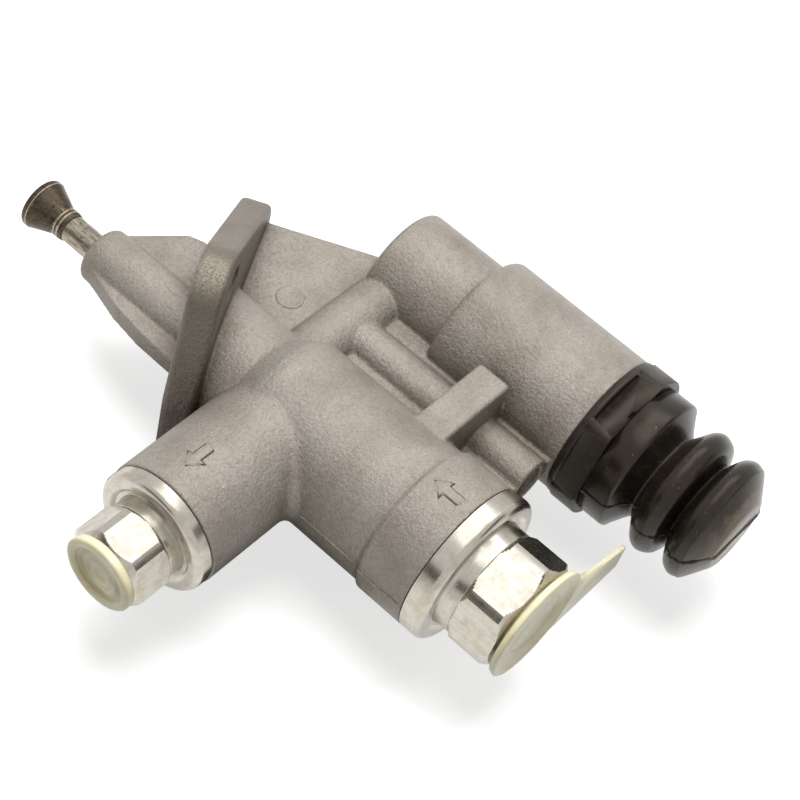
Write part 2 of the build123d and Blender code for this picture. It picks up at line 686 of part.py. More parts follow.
def inlet_cap():
    """Plastic cap with a beaded and dished face, a hollow plug that stands off the fitting, and a pull tab."""
    seat = BARREL_END_X + INLET_LENGTH + SEAT_GAP
    disc = seat + INLET_CAP_STANDOFF
    plug_r = INLET_PORT_R - SEAT_GAP
    face = disc + INLET_CAP_THICKNESS
    cap = turned(
        (seat - INLET_PLUG_LENGTH, plug_r - 0.4),
        (seat - INLET_PLUG_LENGTH + CAP_WALL, plug_r),
        (seat, plug_r),
        (seat, plug_r + 2.5),
        (disc, plug_r + 2.5),
        (disc, INLET_CAP_R - 0.5),
        (face - 0.4, INLET_CAP_R),
        (face, INLET_CAP_R - 0.5),
        (face, INLET_CAP_R - INLET_CAP_BEAD),
        (face - 0.5, INLET_CAP_R - INLET_CAP_BEAD - 0.4),
        (face - 0.5, INLET_CAP_DISH_R),
        (face - 0.9, INLET_CAP_DISH_R - 0.4),
    )
    cap -= rod_x(seat - INLET_PLUG_LENGTH - CUT, seat + 0.3, plug_r - CAP_WALL - 0.4)
    root = INLET_CAP_R - 3.5
    outline = Polyline(
        (root, 8.0), (root + 4.0, 2.5), (root + 9.5, -1.2), (PULL_TAB_REACH, -6.3),
        (PULL_TAB_REACH - 1.0, -14.0), (root + 8.0, -14.8), (root - 3.0, -15.0), close=True,
    )
    tab = extrude(Plane.YZ.offset(disc) * make_face(outline), INLET_CAP_THICKNESS - 0.5)
    tab -= rod_x(disc - CUT, face + CUT, INLET_CAP_R - 1.0)
    return cap + tab


def outlet_cap():
    """Plastic cap with a raised bead around a shallow dish, and a hollow plug in the outlet port."""
    seat = OUTLET_END + OUTLET_LENGTH + SEAT_GAP
    plug_r = OUTLET_PORT_R - SEAT_GAP
    face = seat + OUTLET_CAP_THICKNESS
    cap = turned(
        (seat - OUTLET_PLUG_LENGTH, plug_r - 0.4),
        (seat - OUTLET_PLUG_LENGTH + CAP_WALL, plug_r),
        (seat, plug_r),
        (seat, OUTLET_CAP_R),
        (face - 0.4, OUTLET_CAP_R),
        (face, OUTLET_CAP_R - 0.5),
        (face, OUTLET_CAP_R - OUTLET_CAP_BEAD),
        (face - OUTLET_CAP_DISH, OUTLET_CAP_R - OUTLET_CAP_BEAD - 0.4),
    )
    return OUTLET_AXIS * (cap - rod_x(seat - OUTLET_PLUG_LENGTH - CUT, seat + 0.2, plug_r - CAP_WALL - 0.4))


def primer_collar():
    """Moulded nut of the primer: rim, four flats on a round nut, and a spigot that guides the plunger."""
    hex_start = PRIMER_END_X + SEAT_GAP + COLLAR_RIM
    hex_end = hex_start + COLLAR_HEX_LENGTH
    rim = rod_x(PRIMER_END_X + SEAT_GAP, hex_start, COLLAR_RIM_R)
    rim = fillet(circles_at(rim, hex_start, COLLAR_RIM_R), 0.5)
    nut = rod_x(hex_start - 0.5, hex_end, COLLAR_CORNER_R)
    nut = fillet(circles_at(nut, hex_end, COLLAR_CORNER_R), 0.4)
    for turn in (COLLAR_FLAT_TURN, COLLAR_FLAT_TURN + 60):
        nut &= Rot(turn, 0, 0) * Pos(hex_end, 0, 0) * Box(4 * COLLAR_HEX_LENGTH, 3 * COLLAR_FLATS, COLLAR_FLATS)
    undercut = Pos(hex_start + COLLAR_UNDERCUT_WIDTH / 2, 0, COLLAR_FLATS / 2)
    undercut *= Box(COLLAR_UNDERCUT_WIDTH, COLLAR_UNDERCUT_LENGTH, 4 * COLLAR_UNDERCUT_WIDTH)
    notch = Pos(hex_end, -COLLAR_NOTCH / 2, COLLAR_FLATS / 2) * Box(COLLAR_NOTCH, COLLAR_NOTCH, COLLAR_NOTCH)
    nut -= [Rot(COLLAR_FLAT_TURN, 0, 0) * undercut, Rot(COLLAR_FLAT_TURN, 0, 0) * notch]
    spigot_end = PRIMER_END_X - COLLAR_SPIGOT_DEPTH
    spigot = rod_x(spigot_end, PRIMER_END_X + 1, COLLAR_SPIGOT_R)
    collar = rim + nut + spigot
    collar -= rod_x(spigot_end - 1, hex_end + 1, PLUNGER_R + RUNNING_GAP)
    groove = spigot_end + PRIMER_SEAL_IN
    half = O_RING_R + RING_GROOVE_GAP
    collar -= rod_x(groove - half, groove + half, PLUNGER_R + 2 * O_RING_R + 0.1)
    collar -= ring_groove(PRIMER_END_X - COLLAR_RING_BACK, COLLAR_SPIGOT_R)
    return PRIMER_AXIS * collar


def primer_plunger():
    """Plunger with the button that the boot's end rests on."""
    button_end = primer_boot_end() - BOOT_WALL - 0.3
    plunger = turned(
        (PLUNGER_START_X, PLUNGER_R - 0.8),
        (PLUNGER_START_X + 0.8, PLUNGER_R),
        (button_end - BUTTON_THICKNESS, PLUNGER_R),
        (button_end - BUTTON_THICKNESS, BUTTON_R),
        (button_end, BUTTON_R),
    )
    start = primer_clip_x() - SEAT_GAP
    end = primer_clip_x() + CLIP_THICKNESS + SEAT_GAP
    plunger -= tube_x(start, end, PLUNGER_R + CUT, PLUNGER_R - 0.9)
    return PRIMER_AXIS * plunger


def primer_boot_start():
    """Collar face that the boot's cuff stands on."""
    return PRIMER_END_X + 2 * SEAT_GAP + COLLAR_RIM + COLLAR_HEX_LENGTH


def primer_boot_end():
    """Flat end of the rubber boot."""
    return primer_boot_start() + BOOT_LENGTH


def primer_clip_x():
    """Clip groove of the plunger, just inside the collar's spigot."""
    return PRIMER_END_X - COLLAR_SPIGOT_DEPTH - CLIP_THICKNESS - SEAT_GAP


def primer_clip():
    """Open clip that stops the plunger against the collar's spigot."""
    clip = tube_x(primer_clip_x(), primer_clip_x() + CLIP_THICKNESS, PLUNGER_R + 1.9, PLUNGER_R - 0.85)
    clip -= Pos(primer_clip_x(), 0, -PLUNGER_R) * Box(4 * CLIP_THICKNESS, PLUNGER_R, PLUNGER_R * 1.2)
    return PRIMER_AXIS * clip


def boot_stations():
    """Outside of the boot: cuff, valley, ridge, waist and the last cone."""
    start = primer_boot_start()
    cuff = start + BOOT_CUFF_LENGTH
    end = primer_boot_end()
    return [
        (start, BOOT_CUFF_R),
        (cuff - 1.0, BOOT_CUFF_R),
        (cuff, BOOT_CUFF_R - 1.0),
        (cuff + 2.7, BOOT_VALLEY_R + 1.3),
        (cuff + 4.2, BOOT_VALLEY_R),
        (cuff + 5.5, BOOT_VALLEY_R + 1.6),
        (cuff + 7.6, BOOT_RIDGE_R - 1.1),
        (cuff + 9.6, BOOT_RIDGE_R),
        (cuff + 11.6, BOOT_RIDGE_R - 0.3),
        (cuff + 13.6, BOOT_RIDGE_R - 1.7),
        (cuff + 14.9, BOOT_WAIST_R + 1.0),
        (cuff + 15.5, BOOT_WAIST_R),
        (cuff + 16.3, BOOT_WAIST_R + 1.6),
        (cuff + 17.9, BOOT_CONE_R - 1.2),
        (cuff + 20.2, BOOT_CONE_R),
        (cuff + 22.2, BOOT_CONE_R - 0.4),
        (cuff + 23.4, BOOT_CONE_R - 1.3),
        (end - 0.6, BOOT_END_R + 0.8),
        (end, BOOT_END_R),
    ]


def primer_boot():
    """Rubber bellows over the plunger's button, with a wall of one thickness."""
    outside = boot_stations()
    inside = [(along, radius - BOOT_WALL) for along, radius in outside]
    inside[0] = (inside[0][0] - 1, inside[0][1])
    inside[-2] = (primer_boot_end() - BOOT_WALL, BOOT_END_R - BOOT_WALL / 2)
    return PRIMER_AXIS * (turned(*outside) - turned(*inside[:-1]))


def primer_seal():
    """Ring around the plunger, in the collar's groove."""
    groove = PRIMER_END_X - COLLAR_SPIGOT_DEPTH + PRIMER_SEAL_IN
    return PRIMER_AXIS * ring_x(groove, PLUNGER_R + RING_NIP + O_RING_R, O_RING_R)


def collar_ring():
    """Ring between the collar's spigot and the casting."""
    groove = PRIMER_END_X - COLLAR_RING_BACK
    return PRIMER_AXIS * ring_x(groove, COLLAR_SPIGOT_R + RING_NIP - O_RING_R, O_RING_R)


def primer_spring():
    """Spring that pushes the plunger back out."""
    start = primer_boot_start()
    end = primer_boot_end() - BOOT_WALL - 0.3 - BUTTON_THICKNESS
    return PRIMER_AXIS * coil_spring(start, end - SEAT_GAP, PRIMER_SPRING_R, PRIMER_SPRING_WIRE, 4.5)


def inlet_valve_spring():
    """Spring between the inlet valve's head and its cage."""
    start = BARREL_END_X - INLET_SPIGOT_DEPTH + SEAT_GAP
    end = inlet_seat_x() - HEAD_THICKNESS - 2 * SEAT_GAP
    return coil_spring(start, end, VALVE_SPRING_R, VALVE_SPRING_WIRE, 3.5)


def outlet_valve_spring():
    """Spring between the outlet valve's head and its cage."""
    start = outlet_seat() + HEAD_THICKNESS + 2 * SEAT_GAP
    return OUTLET_AXIS * coil_spring(start, outlet_step() - SEAT_GAP, VALVE_SPRING_R, VALVE_SPRING_WIRE, 2.5)


def inlet_valve():
    """Valve that opens into the pump barrel."""
    return poppet(inlet_seat_x(), -1, INLET_PASSAGE_R, inlet_step_x() + STEM_RECESS)


def outlet_valve():
    """Valve that opens into the outlet fitting."""
    return OUTLET_AXIS * poppet(outlet_seat(), 1, OUTLET_PASSAGE_R, outlet_step() + CAGE_THICKNESS + STEM_BEYOND)


def main():
    """Writes one STEP file for each piece."""
    pieces = {
        "pump_body": pump_body(),
        "pushrod": pushrod(),
        "pushrod_bush": pushrod_bush(),
        "pushrod_seal": pushrod_seal(),
        "seal_retainer": seal_retainer(),
        "pushrod_clip": pushrod_clip(),
        "pump_piston": pump_piston(),
        "piston_ring": piston_ring(),
        "piston_spring": piston_spring(),
        "inlet_fitting": inlet_fitting(),
        "inlet_ring": fitting_ring(BARREL_END_X, INLET_SPIGOT_R),
        "inlet_valve_cage": valve_cage(inlet_step_x(), INLET_SPIGOT_R),
        "inlet_valve": inlet_valve(),
        "inlet_valve_spring": inlet_valve_spring(),
        "inlet_cap": inlet_cap(),
        "outlet_fitting": outlet_fitting(),
        "outlet_ring": OUTLET_AXIS * fitting_ring(OUTLET_END, OUTLET_SPIGOT_R),
        "outlet_valve_cage": OUTLET_AXIS * valve_cage(outlet_step(), OUTLET_SPIGOT_R),
        "outlet_valve": outlet_valve(),
        "outlet_valve_spring": outlet_valve_spring(),
        "outlet_cap": outlet_cap(),
        "primer_collar": primer_collar(),
        "primer_boot": primer_boot(),
        "primer_plunger": primer_plunger(),
        "primer_clip": primer_clip(),
        "primer_seal": primer_seal(),
        "collar_ring": collar_ring(),
        "primer_spring": primer_spring(),
        "transfer_seat": transfer_seat(),
        "transfer_ball": transfer_ball(),
        "transfer_spring": transfer_spring(),
        "gallery_plug": gallery_plug(),
    }
    os.makedirs("parts", exist_ok=True)
    for node, piece in pieces.items():
        export_step(piece, f"parts/{node}.step")


main()
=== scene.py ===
"""Dresses the cam-driven fuel lift pump: one operator for each group of pieces and one for the stage."""
from math import acos, cos, pi, radians, sin, sqrt
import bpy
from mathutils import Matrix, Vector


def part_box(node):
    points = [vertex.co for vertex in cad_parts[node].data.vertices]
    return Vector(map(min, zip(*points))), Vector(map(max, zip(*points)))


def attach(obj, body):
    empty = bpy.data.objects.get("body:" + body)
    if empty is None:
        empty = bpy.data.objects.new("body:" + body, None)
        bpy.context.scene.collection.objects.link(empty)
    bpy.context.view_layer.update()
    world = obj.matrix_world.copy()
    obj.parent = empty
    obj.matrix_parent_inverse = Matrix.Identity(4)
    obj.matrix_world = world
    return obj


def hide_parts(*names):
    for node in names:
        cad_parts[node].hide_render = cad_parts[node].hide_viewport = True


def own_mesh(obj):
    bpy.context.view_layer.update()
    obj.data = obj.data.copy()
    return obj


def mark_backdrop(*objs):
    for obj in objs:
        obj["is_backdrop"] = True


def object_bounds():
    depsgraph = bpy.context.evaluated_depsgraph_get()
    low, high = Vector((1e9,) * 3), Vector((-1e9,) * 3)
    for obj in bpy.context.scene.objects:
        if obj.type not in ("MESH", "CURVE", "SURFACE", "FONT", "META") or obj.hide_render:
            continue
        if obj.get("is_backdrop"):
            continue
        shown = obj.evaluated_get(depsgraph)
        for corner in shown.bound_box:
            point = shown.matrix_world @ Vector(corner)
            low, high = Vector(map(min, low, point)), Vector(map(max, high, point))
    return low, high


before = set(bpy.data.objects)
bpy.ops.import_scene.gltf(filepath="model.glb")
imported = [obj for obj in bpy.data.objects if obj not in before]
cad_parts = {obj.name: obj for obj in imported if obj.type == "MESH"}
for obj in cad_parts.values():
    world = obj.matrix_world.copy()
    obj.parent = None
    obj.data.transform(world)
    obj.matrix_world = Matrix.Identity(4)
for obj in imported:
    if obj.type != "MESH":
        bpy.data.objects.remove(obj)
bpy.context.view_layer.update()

from types import SimpleNamespace

import bmesh
import bpy
import numpy as np
from mathutils import Matrix, Vector

bl_info = {
    "name": "Fuel lift pump dressing",
    "version": (1, 0, 0),
    "blender": (4, 5, 0),
    "location": "View3D > Sidebar > Lift pump",
    "description": "Castings, turned fittings, rubber and plastic of a piston fuel lift pump with a hand primer",
    "category": "Object",
}

MM = 0.001


# Sizes read from the frame, in millimetres

def low(node):
    """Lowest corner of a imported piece, in millimetres."""
    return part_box(node)[0] / MM


def high(node):
    """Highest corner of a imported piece, in millimetres."""
    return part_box(node)[1] / MM


BARREL_END = high("pump_body").x
OUTLET_X = (low("outlet_ring").x + high("outlet_ring").x) / 2
OUTLET_END = -low("pump_body").y
PRIMER_Y = (low("primer_boot").y + high("primer_boot").y) / 2
TAPPET_FACE = low("pushrod").x
BOOT_START = low("primer_boot").x
BOOT_END = high("primer_boot").x

# Sizes of the solids that their boxes don't state, in millimetres and degrees
BARREL_R = 20.0
COLLAR_R = 21.0
OUTLET_R = 16.8
PRIMER_R = 20.35
PRIMER_END = 89.4
FLANGE_TURN = 27.8
FLANGE_THICKNESS = 8.35
FLANGE_CORNER = (7.5, -6.5, 34.0)
WEB_THICKNESS = 5.85
EJECTOR_MARK = (10.2, 25.2, WEB_THICKNESS / 2)
ROD_R = 3.78

# The two screwed fittings, in millimetres from the end of their barrel. A flat of the hexagon faces the angle turn,
# counted round the axis in degrees.
INLET = SimpleNamespace(
    name="inlet", faces="X", centre=(0, 0, 0), end=BARREL_END, disc_r=COLLAR_R, rim=6.4, rounding=2.3, spigot_r=15.4,
    spigot=13.0, hexagon=10.6, length=22.5, across=28.6, bar_r=15.87, turn=50.0, port_r=9.0, port=11.0,
    passage_r=5.5, chamber_r=8.6, seat=-2.0, dish_r=9.3,
)
OUTLET = SimpleNamespace(
    name="outlet", faces="-Y", centre=(OUTLET_X, 0, 0), end=OUTLET_END, disc_r=OUTLET_R - 0.3, rim=4.6, rounding=2.0,
    spigot_r=12.3, spigot=12.1, hexagon=8.0, length=19.0, across=20.8, bar_r=11.41, turn=79.0, port_r=6.8, port=9.0,
    passage_r=4.2, chamber_r=6.6, seat=-1.5, dish_r=7.5,
)

# The photograph's camera: the point that it looks at, its distance, its angles and its focal length in pixels
AIM = Vector((49.75, 24.58, 0)) * MM
DISTANCE = 538.75 * MM
AZIMUTH, ELEVATION, ROLL = radians(28.05), radians(51.51), radians(17.13)
FOCAL_LENGTH = 2143.03
PICTURE_WIDTH = 800
SENSOR = 36

# Strengths of the light that the floor gives off where it is seen, and of the light from all round
FLOOR_GLOW = 0.71
SKY_LIGHT = 0.13


# Colours

def linear(code):
    """Linear colour from an sRGB hex value."""
    parts = [int(code[k:k + 2], 16) / 255 for k in (1, 3, 5)]
    return tuple(c / 12.92 if c <= 0.04045 else ((c + 0.055) / 1.055) ** 2.4 for c in parts) + (1.0,)


def size(name, text, value):
    """Length property in metres, from millimetres."""
    return bpy.props.FloatProperty(name=name, description=text, default=value * MM, unit="LENGTH", precision=5)


def colour(name, text, code):
    """Colour property from an sRGB hex value."""
    return bpy.props.FloatVectorProperty(
        name=name, description=text, default=linear(code), size=4, min=0.0, max=1.0, subtype="COLOR"
    )


class PumpSizes(bpy.types.PropertyGroup):
    """Sizes of the finish that the solids don't carry."""
    casting_voxel: size("Casting grid", "Spacing of the mesh that rounds the casting's edges and valleys", 0.42)
    casting_valley: bpy.props.IntProperty(
        name="Casting rounding", description="Smoothing passes that turn the sharp valleys into cast ones", default=2
    )
    grain: size("Casting grain", "Width of the grains that tumbling leaves on the casting", 0.38)
    leather: size("Casting wrinkles", "Width of the flow wrinkles in the cast skin", 0.85)
    lathe_pitch: size("Tool marks", "Distance between turning marks, drawn coarser than the real 0.1 mm", 0.34)
    parting_line: size("Parting lines", "Height of the ridges where the mould's halves met", 0.32)


class PumpColours(bpy.types.PropertyGroup):
    """Colours of the finishes."""
    casting: colour("Casting", "Tumbled die-cast aluminium", "#9A938A")
    casting_shade: colour("Casting shade", "Darker, warmer patches of the casting", "#7A7064")
    turned: colour("Turned aluminium", "Fittings turned and milled from bar", "#BFBAB1")
    rod: colour("Push rod", "Ground steel of the push rod", "#B0A596")
    tappet: colour("Tappet head", "Heat-tinted steel of the push rod's head", "#554B40")
    cap: colour("Transit caps", "Soft plastic of the two caps", "#FAF2D2")
    rubber: colour("Boot rubber", "Moulded rubber of the primer's boot", "#16120F")
    nylon: colour("Collar nylon", "Moulded plastic of the primer's collar", "#1F1B18")
    floor: colour("Floor", "Pale floor", "#B4B4B2")


# Materials

def node(tree, kind, inputs=(), **settings):
    """Adds a shader node with its settings. Its inputs, by name or in the order of those in use, are values, or
    sockets or nodes to link from; a node gives its first output in use."""
    new = tree.nodes.new("ShaderNode" + kind)
    for name, value in settings.items():
        setattr(new, name, value)
    in_use = [socket for socket in new.inputs if socket.enabled]
    for key, value in inputs.items() if isinstance(inputs, dict) else enumerate(inputs):
        socket = new.inputs[key] if isinstance(key, str) else in_use[key]
        if isinstance(value, bpy.types.Node):
            value = next(output for output in value.outputs if output.enabled)
        if isinstance(value, bpy.types.NodeSocket):
            tree.links.new(value, socket)
        else:
            socket.default_value = value
    return new


def finish(name):
    """Empty material, its tree and the object's coordinates in metres."""
    material = bpy.data.materials.new(name)
    material.use_nodes = True
    tree = material.node_tree
    tree.nodes.clear()
    return material, tree, node(tree, "TexCoord").outputs["Object"]


def surface(tree, inputs):
    """Ends a material's tree in a shader with these inputs."""
    node(tree, "OutputMaterial", {"Surface": node(tree, "BsdfPrincipled", inputs)})


def grains(tree, place, width, detail=2.0, roughness=0.5, stretch=(1, 1, 1)):
    """Noise whose lumps are about the given width in millimetres, longer along the axes that are stretched."""
    where = node(tree, "Mapping", {"Vector": place, "Scale": tuple(1 / s for s in stretch)})
    noise = {"Vector": where, "Scale": 1 / (width * MM), "Detail": detail, "Roughness": roughness}
    return node(tree, "TexNoise", noise)


def around(tree, place, along, centre):
    """Length along an axis of the pump through a centre in millimetres, and distance from that axis, in metres."""
    shifted = node(tree, "Mapping", {"Vector": place, "Location": tuple(-c * MM for c in centre)})
    split = node(tree, "SeparateXYZ", [shifted])
    axis = "XYZ".index(along)
    squares = [
        node(tree, "Math", (split.outputs[k], split.outputs[k]), operation="MULTIPLY") for k in range(3) if k != axis
    ]
    radius = node(tree, "Math", [node(tree, "Math", squares, operation="ADD")], operation="SQRT")
    return split.outputs[axis], radius


def stained(tree, tone, *stains):
    """Colour under stains. A stain is (pattern, start, end, least, most, colour): it comes in from least to most
    while the pattern goes from start to end."""
    for *ramp, stain in stains:
        tone = node(tree, "Mix", (node(tree, "MapRange", ramp), tone, stain), data_type="RGBA")
    return tone


def relief(tree, normal, *layers):
    """Normal under layers of relief, each (height from 0 to 1, depth in millimetres, strength), coarsest first."""
    for height, depth, strength in layers:
        inputs = {"Height": height, "Distance": depth * MM, "Strength": strength}
        if normal is not None:
            inputs["Normal"] = normal
        normal = node(tree, "Bump", inputs)
    return normal


def cast_aluminium(colours, sizes):
    """A380 aluminium, pressure die-cast and tumbled: matte leathery grain, brown painted shade in the valleys, bright
    nicks.
    """
    material, tree, place = finish("cast_aluminium_tumbled")
    grain = grains(tree, place, sizes.grain / MM, 2.0, 0.6)
    leather = grains(tree, place, sizes.leather / MM, 3.0, 0.62)
    patches = grains(tree, place, 13.0, 3.0, 0.55)
    blotches = grains(tree, place, 3.2, 4.0, 0.6)
    strands = grains(tree, place, 0.5, 3.0, 0.6, (1, 1, 5))
    valleys = openness_for_painted_shade(tree, leather)
    bare = knocks(tree, place, leather)
    filed = filed_corner(tree, place, leather)
    tone = stained(
        tree, tuple(colours.casting),
        (patches, 0.40, 0.70, 0.0, 0.7, tuple(colours.casting_shade)),
        (blotches, 0.35, 0.7, 0.0, 0.25, linear("#B3ADA4")),
        (grain, 0.34, 0.58, 0.34, 0.0, linear("#4C453C")),
        (leather, 0.36, 0.52, 0.22, 0.0, linear("#5A5145")),
        # Brown where the surface lies low in its valleys: painted shade
        (valleys, 0.90, 0.36, 0.0, 0.62, linear("#453A2E")),
        (bare, 0.0, 1.0, 0.0, 0.55, linear("#C9C3B9")),
    )
    # The flange plate is painted darker, as painted shade on it
    flange_shade_tone = (0.55, 0.53, 0.49, 1.0)
    tone = node(tree, "Mix", (on_shaded_flange(tree, place), tone, flange_shade_tone), data_type="RGBA", blend_type="MULTIPLY")
    brushed = node(tree, "MapRange", (strands, 0.36, 0.66, 0.0, 0.8))
    brushed = node(tree, "Math", (filed, brushed), operation="MULTIPLY")
    tone = stained(tree, tone, (brushed, 0.0, 1.0, 0.0, 1.0, linear("#AEA495")))

    polished = node(tree, "Math", (bare, filed), operation="MAXIMUM")
    rough = node(tree, "MapRange", (grain, 0.3, 0.7, 0.40, 0.54))
    rough = node(tree, "Math", (polished, -0.08, rough), operation="MULTIPLY_ADD")
    strokes = node(tree, "Math", (filed, strands), operation="MULTIPLY")
    normal = relief(
        tree, None,
        (patches, 0.4, 0.30), (leather, 0.36, 0.85), (grain, 0.10, 0.80), (strokes, 0.30, 0.8), (bare, -0.05, 0.7),
    )
    surface(tree, {"Base Color": tone, "Roughness": rough, "Normal": normal, "Metallic": 0.40})
    return material


def openness_for_painted_shade(tree, leather):
    """How open the surface lies, from about 0 to 1, with an uneven edge: where it is low, the casting is darkened as
    painted shade.
    """
    sky = node(tree, "AmbientOcclusion", {"Distance": 10 * MM}, samples=6).outputs["AO"]
    uneven = node(tree, "MapRange", (leather, 0.3, 0.7, -0.08, 0.08))
    return node(tree, "Math", (sky, uneven), operation="ADD")


def knocks(tree, place, leather):
    """Where bare metal shows, from 0 to 1: dots about 8 mm apart, and short scratches in two directions."""
    cells = node(tree, "TexVoronoi", {"Vector": place, "Scale": 1 / (8.0 * MM)}, feature="F1")
    chance = node(tree, "SeparateColor", [cells.outputs["Color"]])
    reach = node(tree, "Math", (chance, 0.13, cells.outputs["Distance"]), operation="MULTIPLY_ADD")
    reach = node(tree, "Math", (leather, 0.10, reach), operation="MULTIPLY_ADD")
    bare = node(tree, "MapRange", (reach, 0.080, 0.060))
    for stretch in ((9, 1.5, 1.5), (1.5, 7, 2)):
        scratch = node(tree, "MapRange", (grains(tree, place, 0.36, 1.0, 0.4, stretch), 0.80, 0.83))
        bare = node(tree, "Math", (bare, scratch), operation="MAXIMUM")
    return bare


def on_shaded_flange(tree, place):
    """1 on the slanted flange plate, where painted shade darkens the casting, 0 elsewhere and on the outlet barrel."""
    facing = Vector((cos(radians(FLANGE_TURN)), sin(radians(FLANGE_TURN)), 0))
    depth = node(tree, "VectorMath", (place, facing), operation="DOT_PRODUCT")
    flat = node(tree, "Mapping", {"Vector": place, "Location": (-OUTLET_X * MM, 0, 0), "Scale": (1, 0, 1)})
    from_outlet = node(tree, "VectorMath", [flat], operation="LENGTH")
    inside = node(tree, "MapRange", (depth, -1.2 * MM, 0.0))
    for value, start, end in (
        (depth, FLANGE_THICKNESS + 1.45, FLANGE_THICKNESS + 0.25),
        (from_outlet, OUTLET_R + 0.3, OUTLET_R + 0.8),
    ):
        limit = node(tree, "MapRange", (value, start * MM, end * MM))
        inside = node(tree, "Math", (inside, limit), operation="MULTIPLY")
    return inside


def filed_corner(tree, place, leather):
    """How bright a file has worn the flange's corner, from 0 to 0.8, with an uneven edge."""
    shifted = node(tree, "Mapping", {"Vector": place, "Location": tuple(-c * MM for c in FLANGE_CORNER)})
    away = node(tree, "VectorMath", [shifted], operation="LENGTH")
    uneven = node(tree, "Math", (leather, 0.5), operation="SUBTRACT")
    away = node(tree, "Math", (uneven, 9 * MM, away), operation="MULTIPLY_ADD")
    return node(tree, "MapRange", (away, 7.0 * MM, 3.0 * MM, 0.0, 0.8))


def turned_aluminium(name, colours, sizes, along, centre, flats=False):
    """2011 aluminium bar, turned or milled: bright, with fine rings or strokes that smear the lights into bands."""
    material, tree, place = finish(name)
    if flats:
        stretch = tuple(6.0 if letter == along else 0.8 for letter in "XYZ")
        marks = grains(tree, place, 0.7, 4.0, 0.65, stretch)
    else:
        line = node(tree, "Math", around(tree, place, along, centre), operation="ADD")
        rings = {"Vector": node(tree, "CombineXYZ", [line]), "Scale": 1 / sizes.lathe_pitch}
        marks = node(tree, "TexNoise", rings | {"Detail": 3.0, "Roughness": 0.7})
    smear = grains(tree, place, 3.0, 4.0, 0.6)
    nicks = node(tree, "MapRange", (grains(tree, place, 1.0, 3.0, 0.65), 0.70, 0.75))
    tone = stained(
        tree, tuple(colours.turned),
        (marks, 0.35, 0.7, 0.0, 0.40, linear("#958E82")),
        (smear, 0.45, 0.70, 0.0, 0.55, linear("#A0957E")),
        (nicks, 0.0, 1.0, 0.0, 0.7, linear("#6E675D")),
    )
    edges = node(tree, "Bevel", {"Radius": 0.18 * MM}, samples=6)
    normal = relief(tree, edges, (marks, 0.012 if flats else 0.010, 0.55), (smear, 0.02, 0.15), (nicks, -0.04, 0.6))
    rough = node(tree, "MapRange", (smear, 0.3, 0.7, 0.20, 0.30 if flats else 0.28))
    surface(tree, {"Base Color": tone, "Roughness": rough, "Normal": normal, "Metallic": 1.0})
    return material


def ground_steel(colours, part):
    """Alloy steel: ground and streaky on the rod, brown from heat on the head, bright in the two grooves."""
    name, base = {
        "rod": ("ground_steel_rod", tuple(colours.rod)),
        "head": ("tinted_steel_head", tuple(colours.tappet)),
        "ring": ("bright_steel_ring", linear("#C9BDA9")),
    }[part]
    material, tree, place = finish(name)
    streak = grains(tree, place, 0.30, 4.0, 0.65, (14, 1, 1) if part == "rod" else (2, 1, 1))
    spots = grains(tree, place, 1.2, 4.0, 0.65)
    tone = stained(
        tree, base,
        (streak, 0.35, 0.62, 0.0, 0.75, linear("#6E6454" if part == "ring" else "#3B342B")),
        (spots, 0.57, 0.70, 0.0, 0.6, linear("#C2B6A2" if part == "rod" else "#82735E")),
        (spots, 0.40, 0.33, 0.0, 0.8, linear("#241F19")),
    )
    rough = node(tree, "MapRange", (spots, 0.3, 0.7, 0.40, 0.30 if part == "head" else 0.22))
    edges = node(tree, "Bevel", {"Radius": 0.12 * MM}, samples=6)
    normal = relief(tree, edges, (streak, 0.02, 0.5), (spots, 0.05, 0.45))
    surface(tree, {"Base Color": tone, "Roughness": rough, "Normal": normal, "Metallic": 1.0})
    return material


def plain_metal(name, code, roughness, metallic=1.0):
    """Small piece inside the pump: even colour with fine machining grain."""
    material, tree, place = finish(name)
    grain = grains(tree, place, 0.6, 3.0, 0.6)
    tone = stained(tree, linear(code), (grain, 0.3, 0.7, 0.0, 0.35, linear("#3C3935")))
    normal = relief(tree, None, (grain, 0.015, 0.5))
    surface(tree, {"Base Color": tone, "Roughness": roughness, "Normal": normal, "Metallic": metallic})
    return material


def moulded_rubber(colours):
    """Nitrile rubber, compression moulded: near black with a warm, broad sheen, fine mould lines, a little dust and a
    painted reflection on the end cone.
    """
    material, tree, place = finish("nitrile_rubber_moulded")
    skin = grains(tree, place, 0.45, 3.0, 0.6)
    dust = grains(tree, place, 5.0, 4.0, 0.6)
    lines = grains(tree, place, 0.30, 2.0, 0.5, (1, 7, 7))
    specks = grains(tree, place, 0.8, 2.0, 0.5)
    # The cone at the boot's end is painted lighter, as a painted reflection with an uneven edge
    along = node(tree, "SeparateXYZ", [place])
    painted_end_reflection = node(tree, "Math", (dust, 4 * MM, along), operation="MULTIPLY_ADD")
    tone = stained(
        tree, tuple(colours.rubber),
        (dust, 0.48, 0.75, 0.0, 0.35, linear("#332C25")),
        (painted_end_reflection, (BOOT_END - 1.4) * MM, (BOOT_END + 0.4) * MM, 0.0, 0.9, linear("#6E6456")),
        (specks, 0.73, 0.76, 0.0, 0.5, linear("#8F8578")),
    )
    surface(tree, {
        "Base Color": tone,
        "Roughness": node(tree, "MapRange", (dust, 0.3, 0.7, 0.22, 0.33)),
        "Normal": relief(tree, None, (dust, 0.10, 0.30), (lines, 0.03, 0.5), (skin, 0.015, 0.5)),
        "Specular IOR Level": 0.42,
        "Specular Tint": linear("#F2E4D2"),
    })
    return material


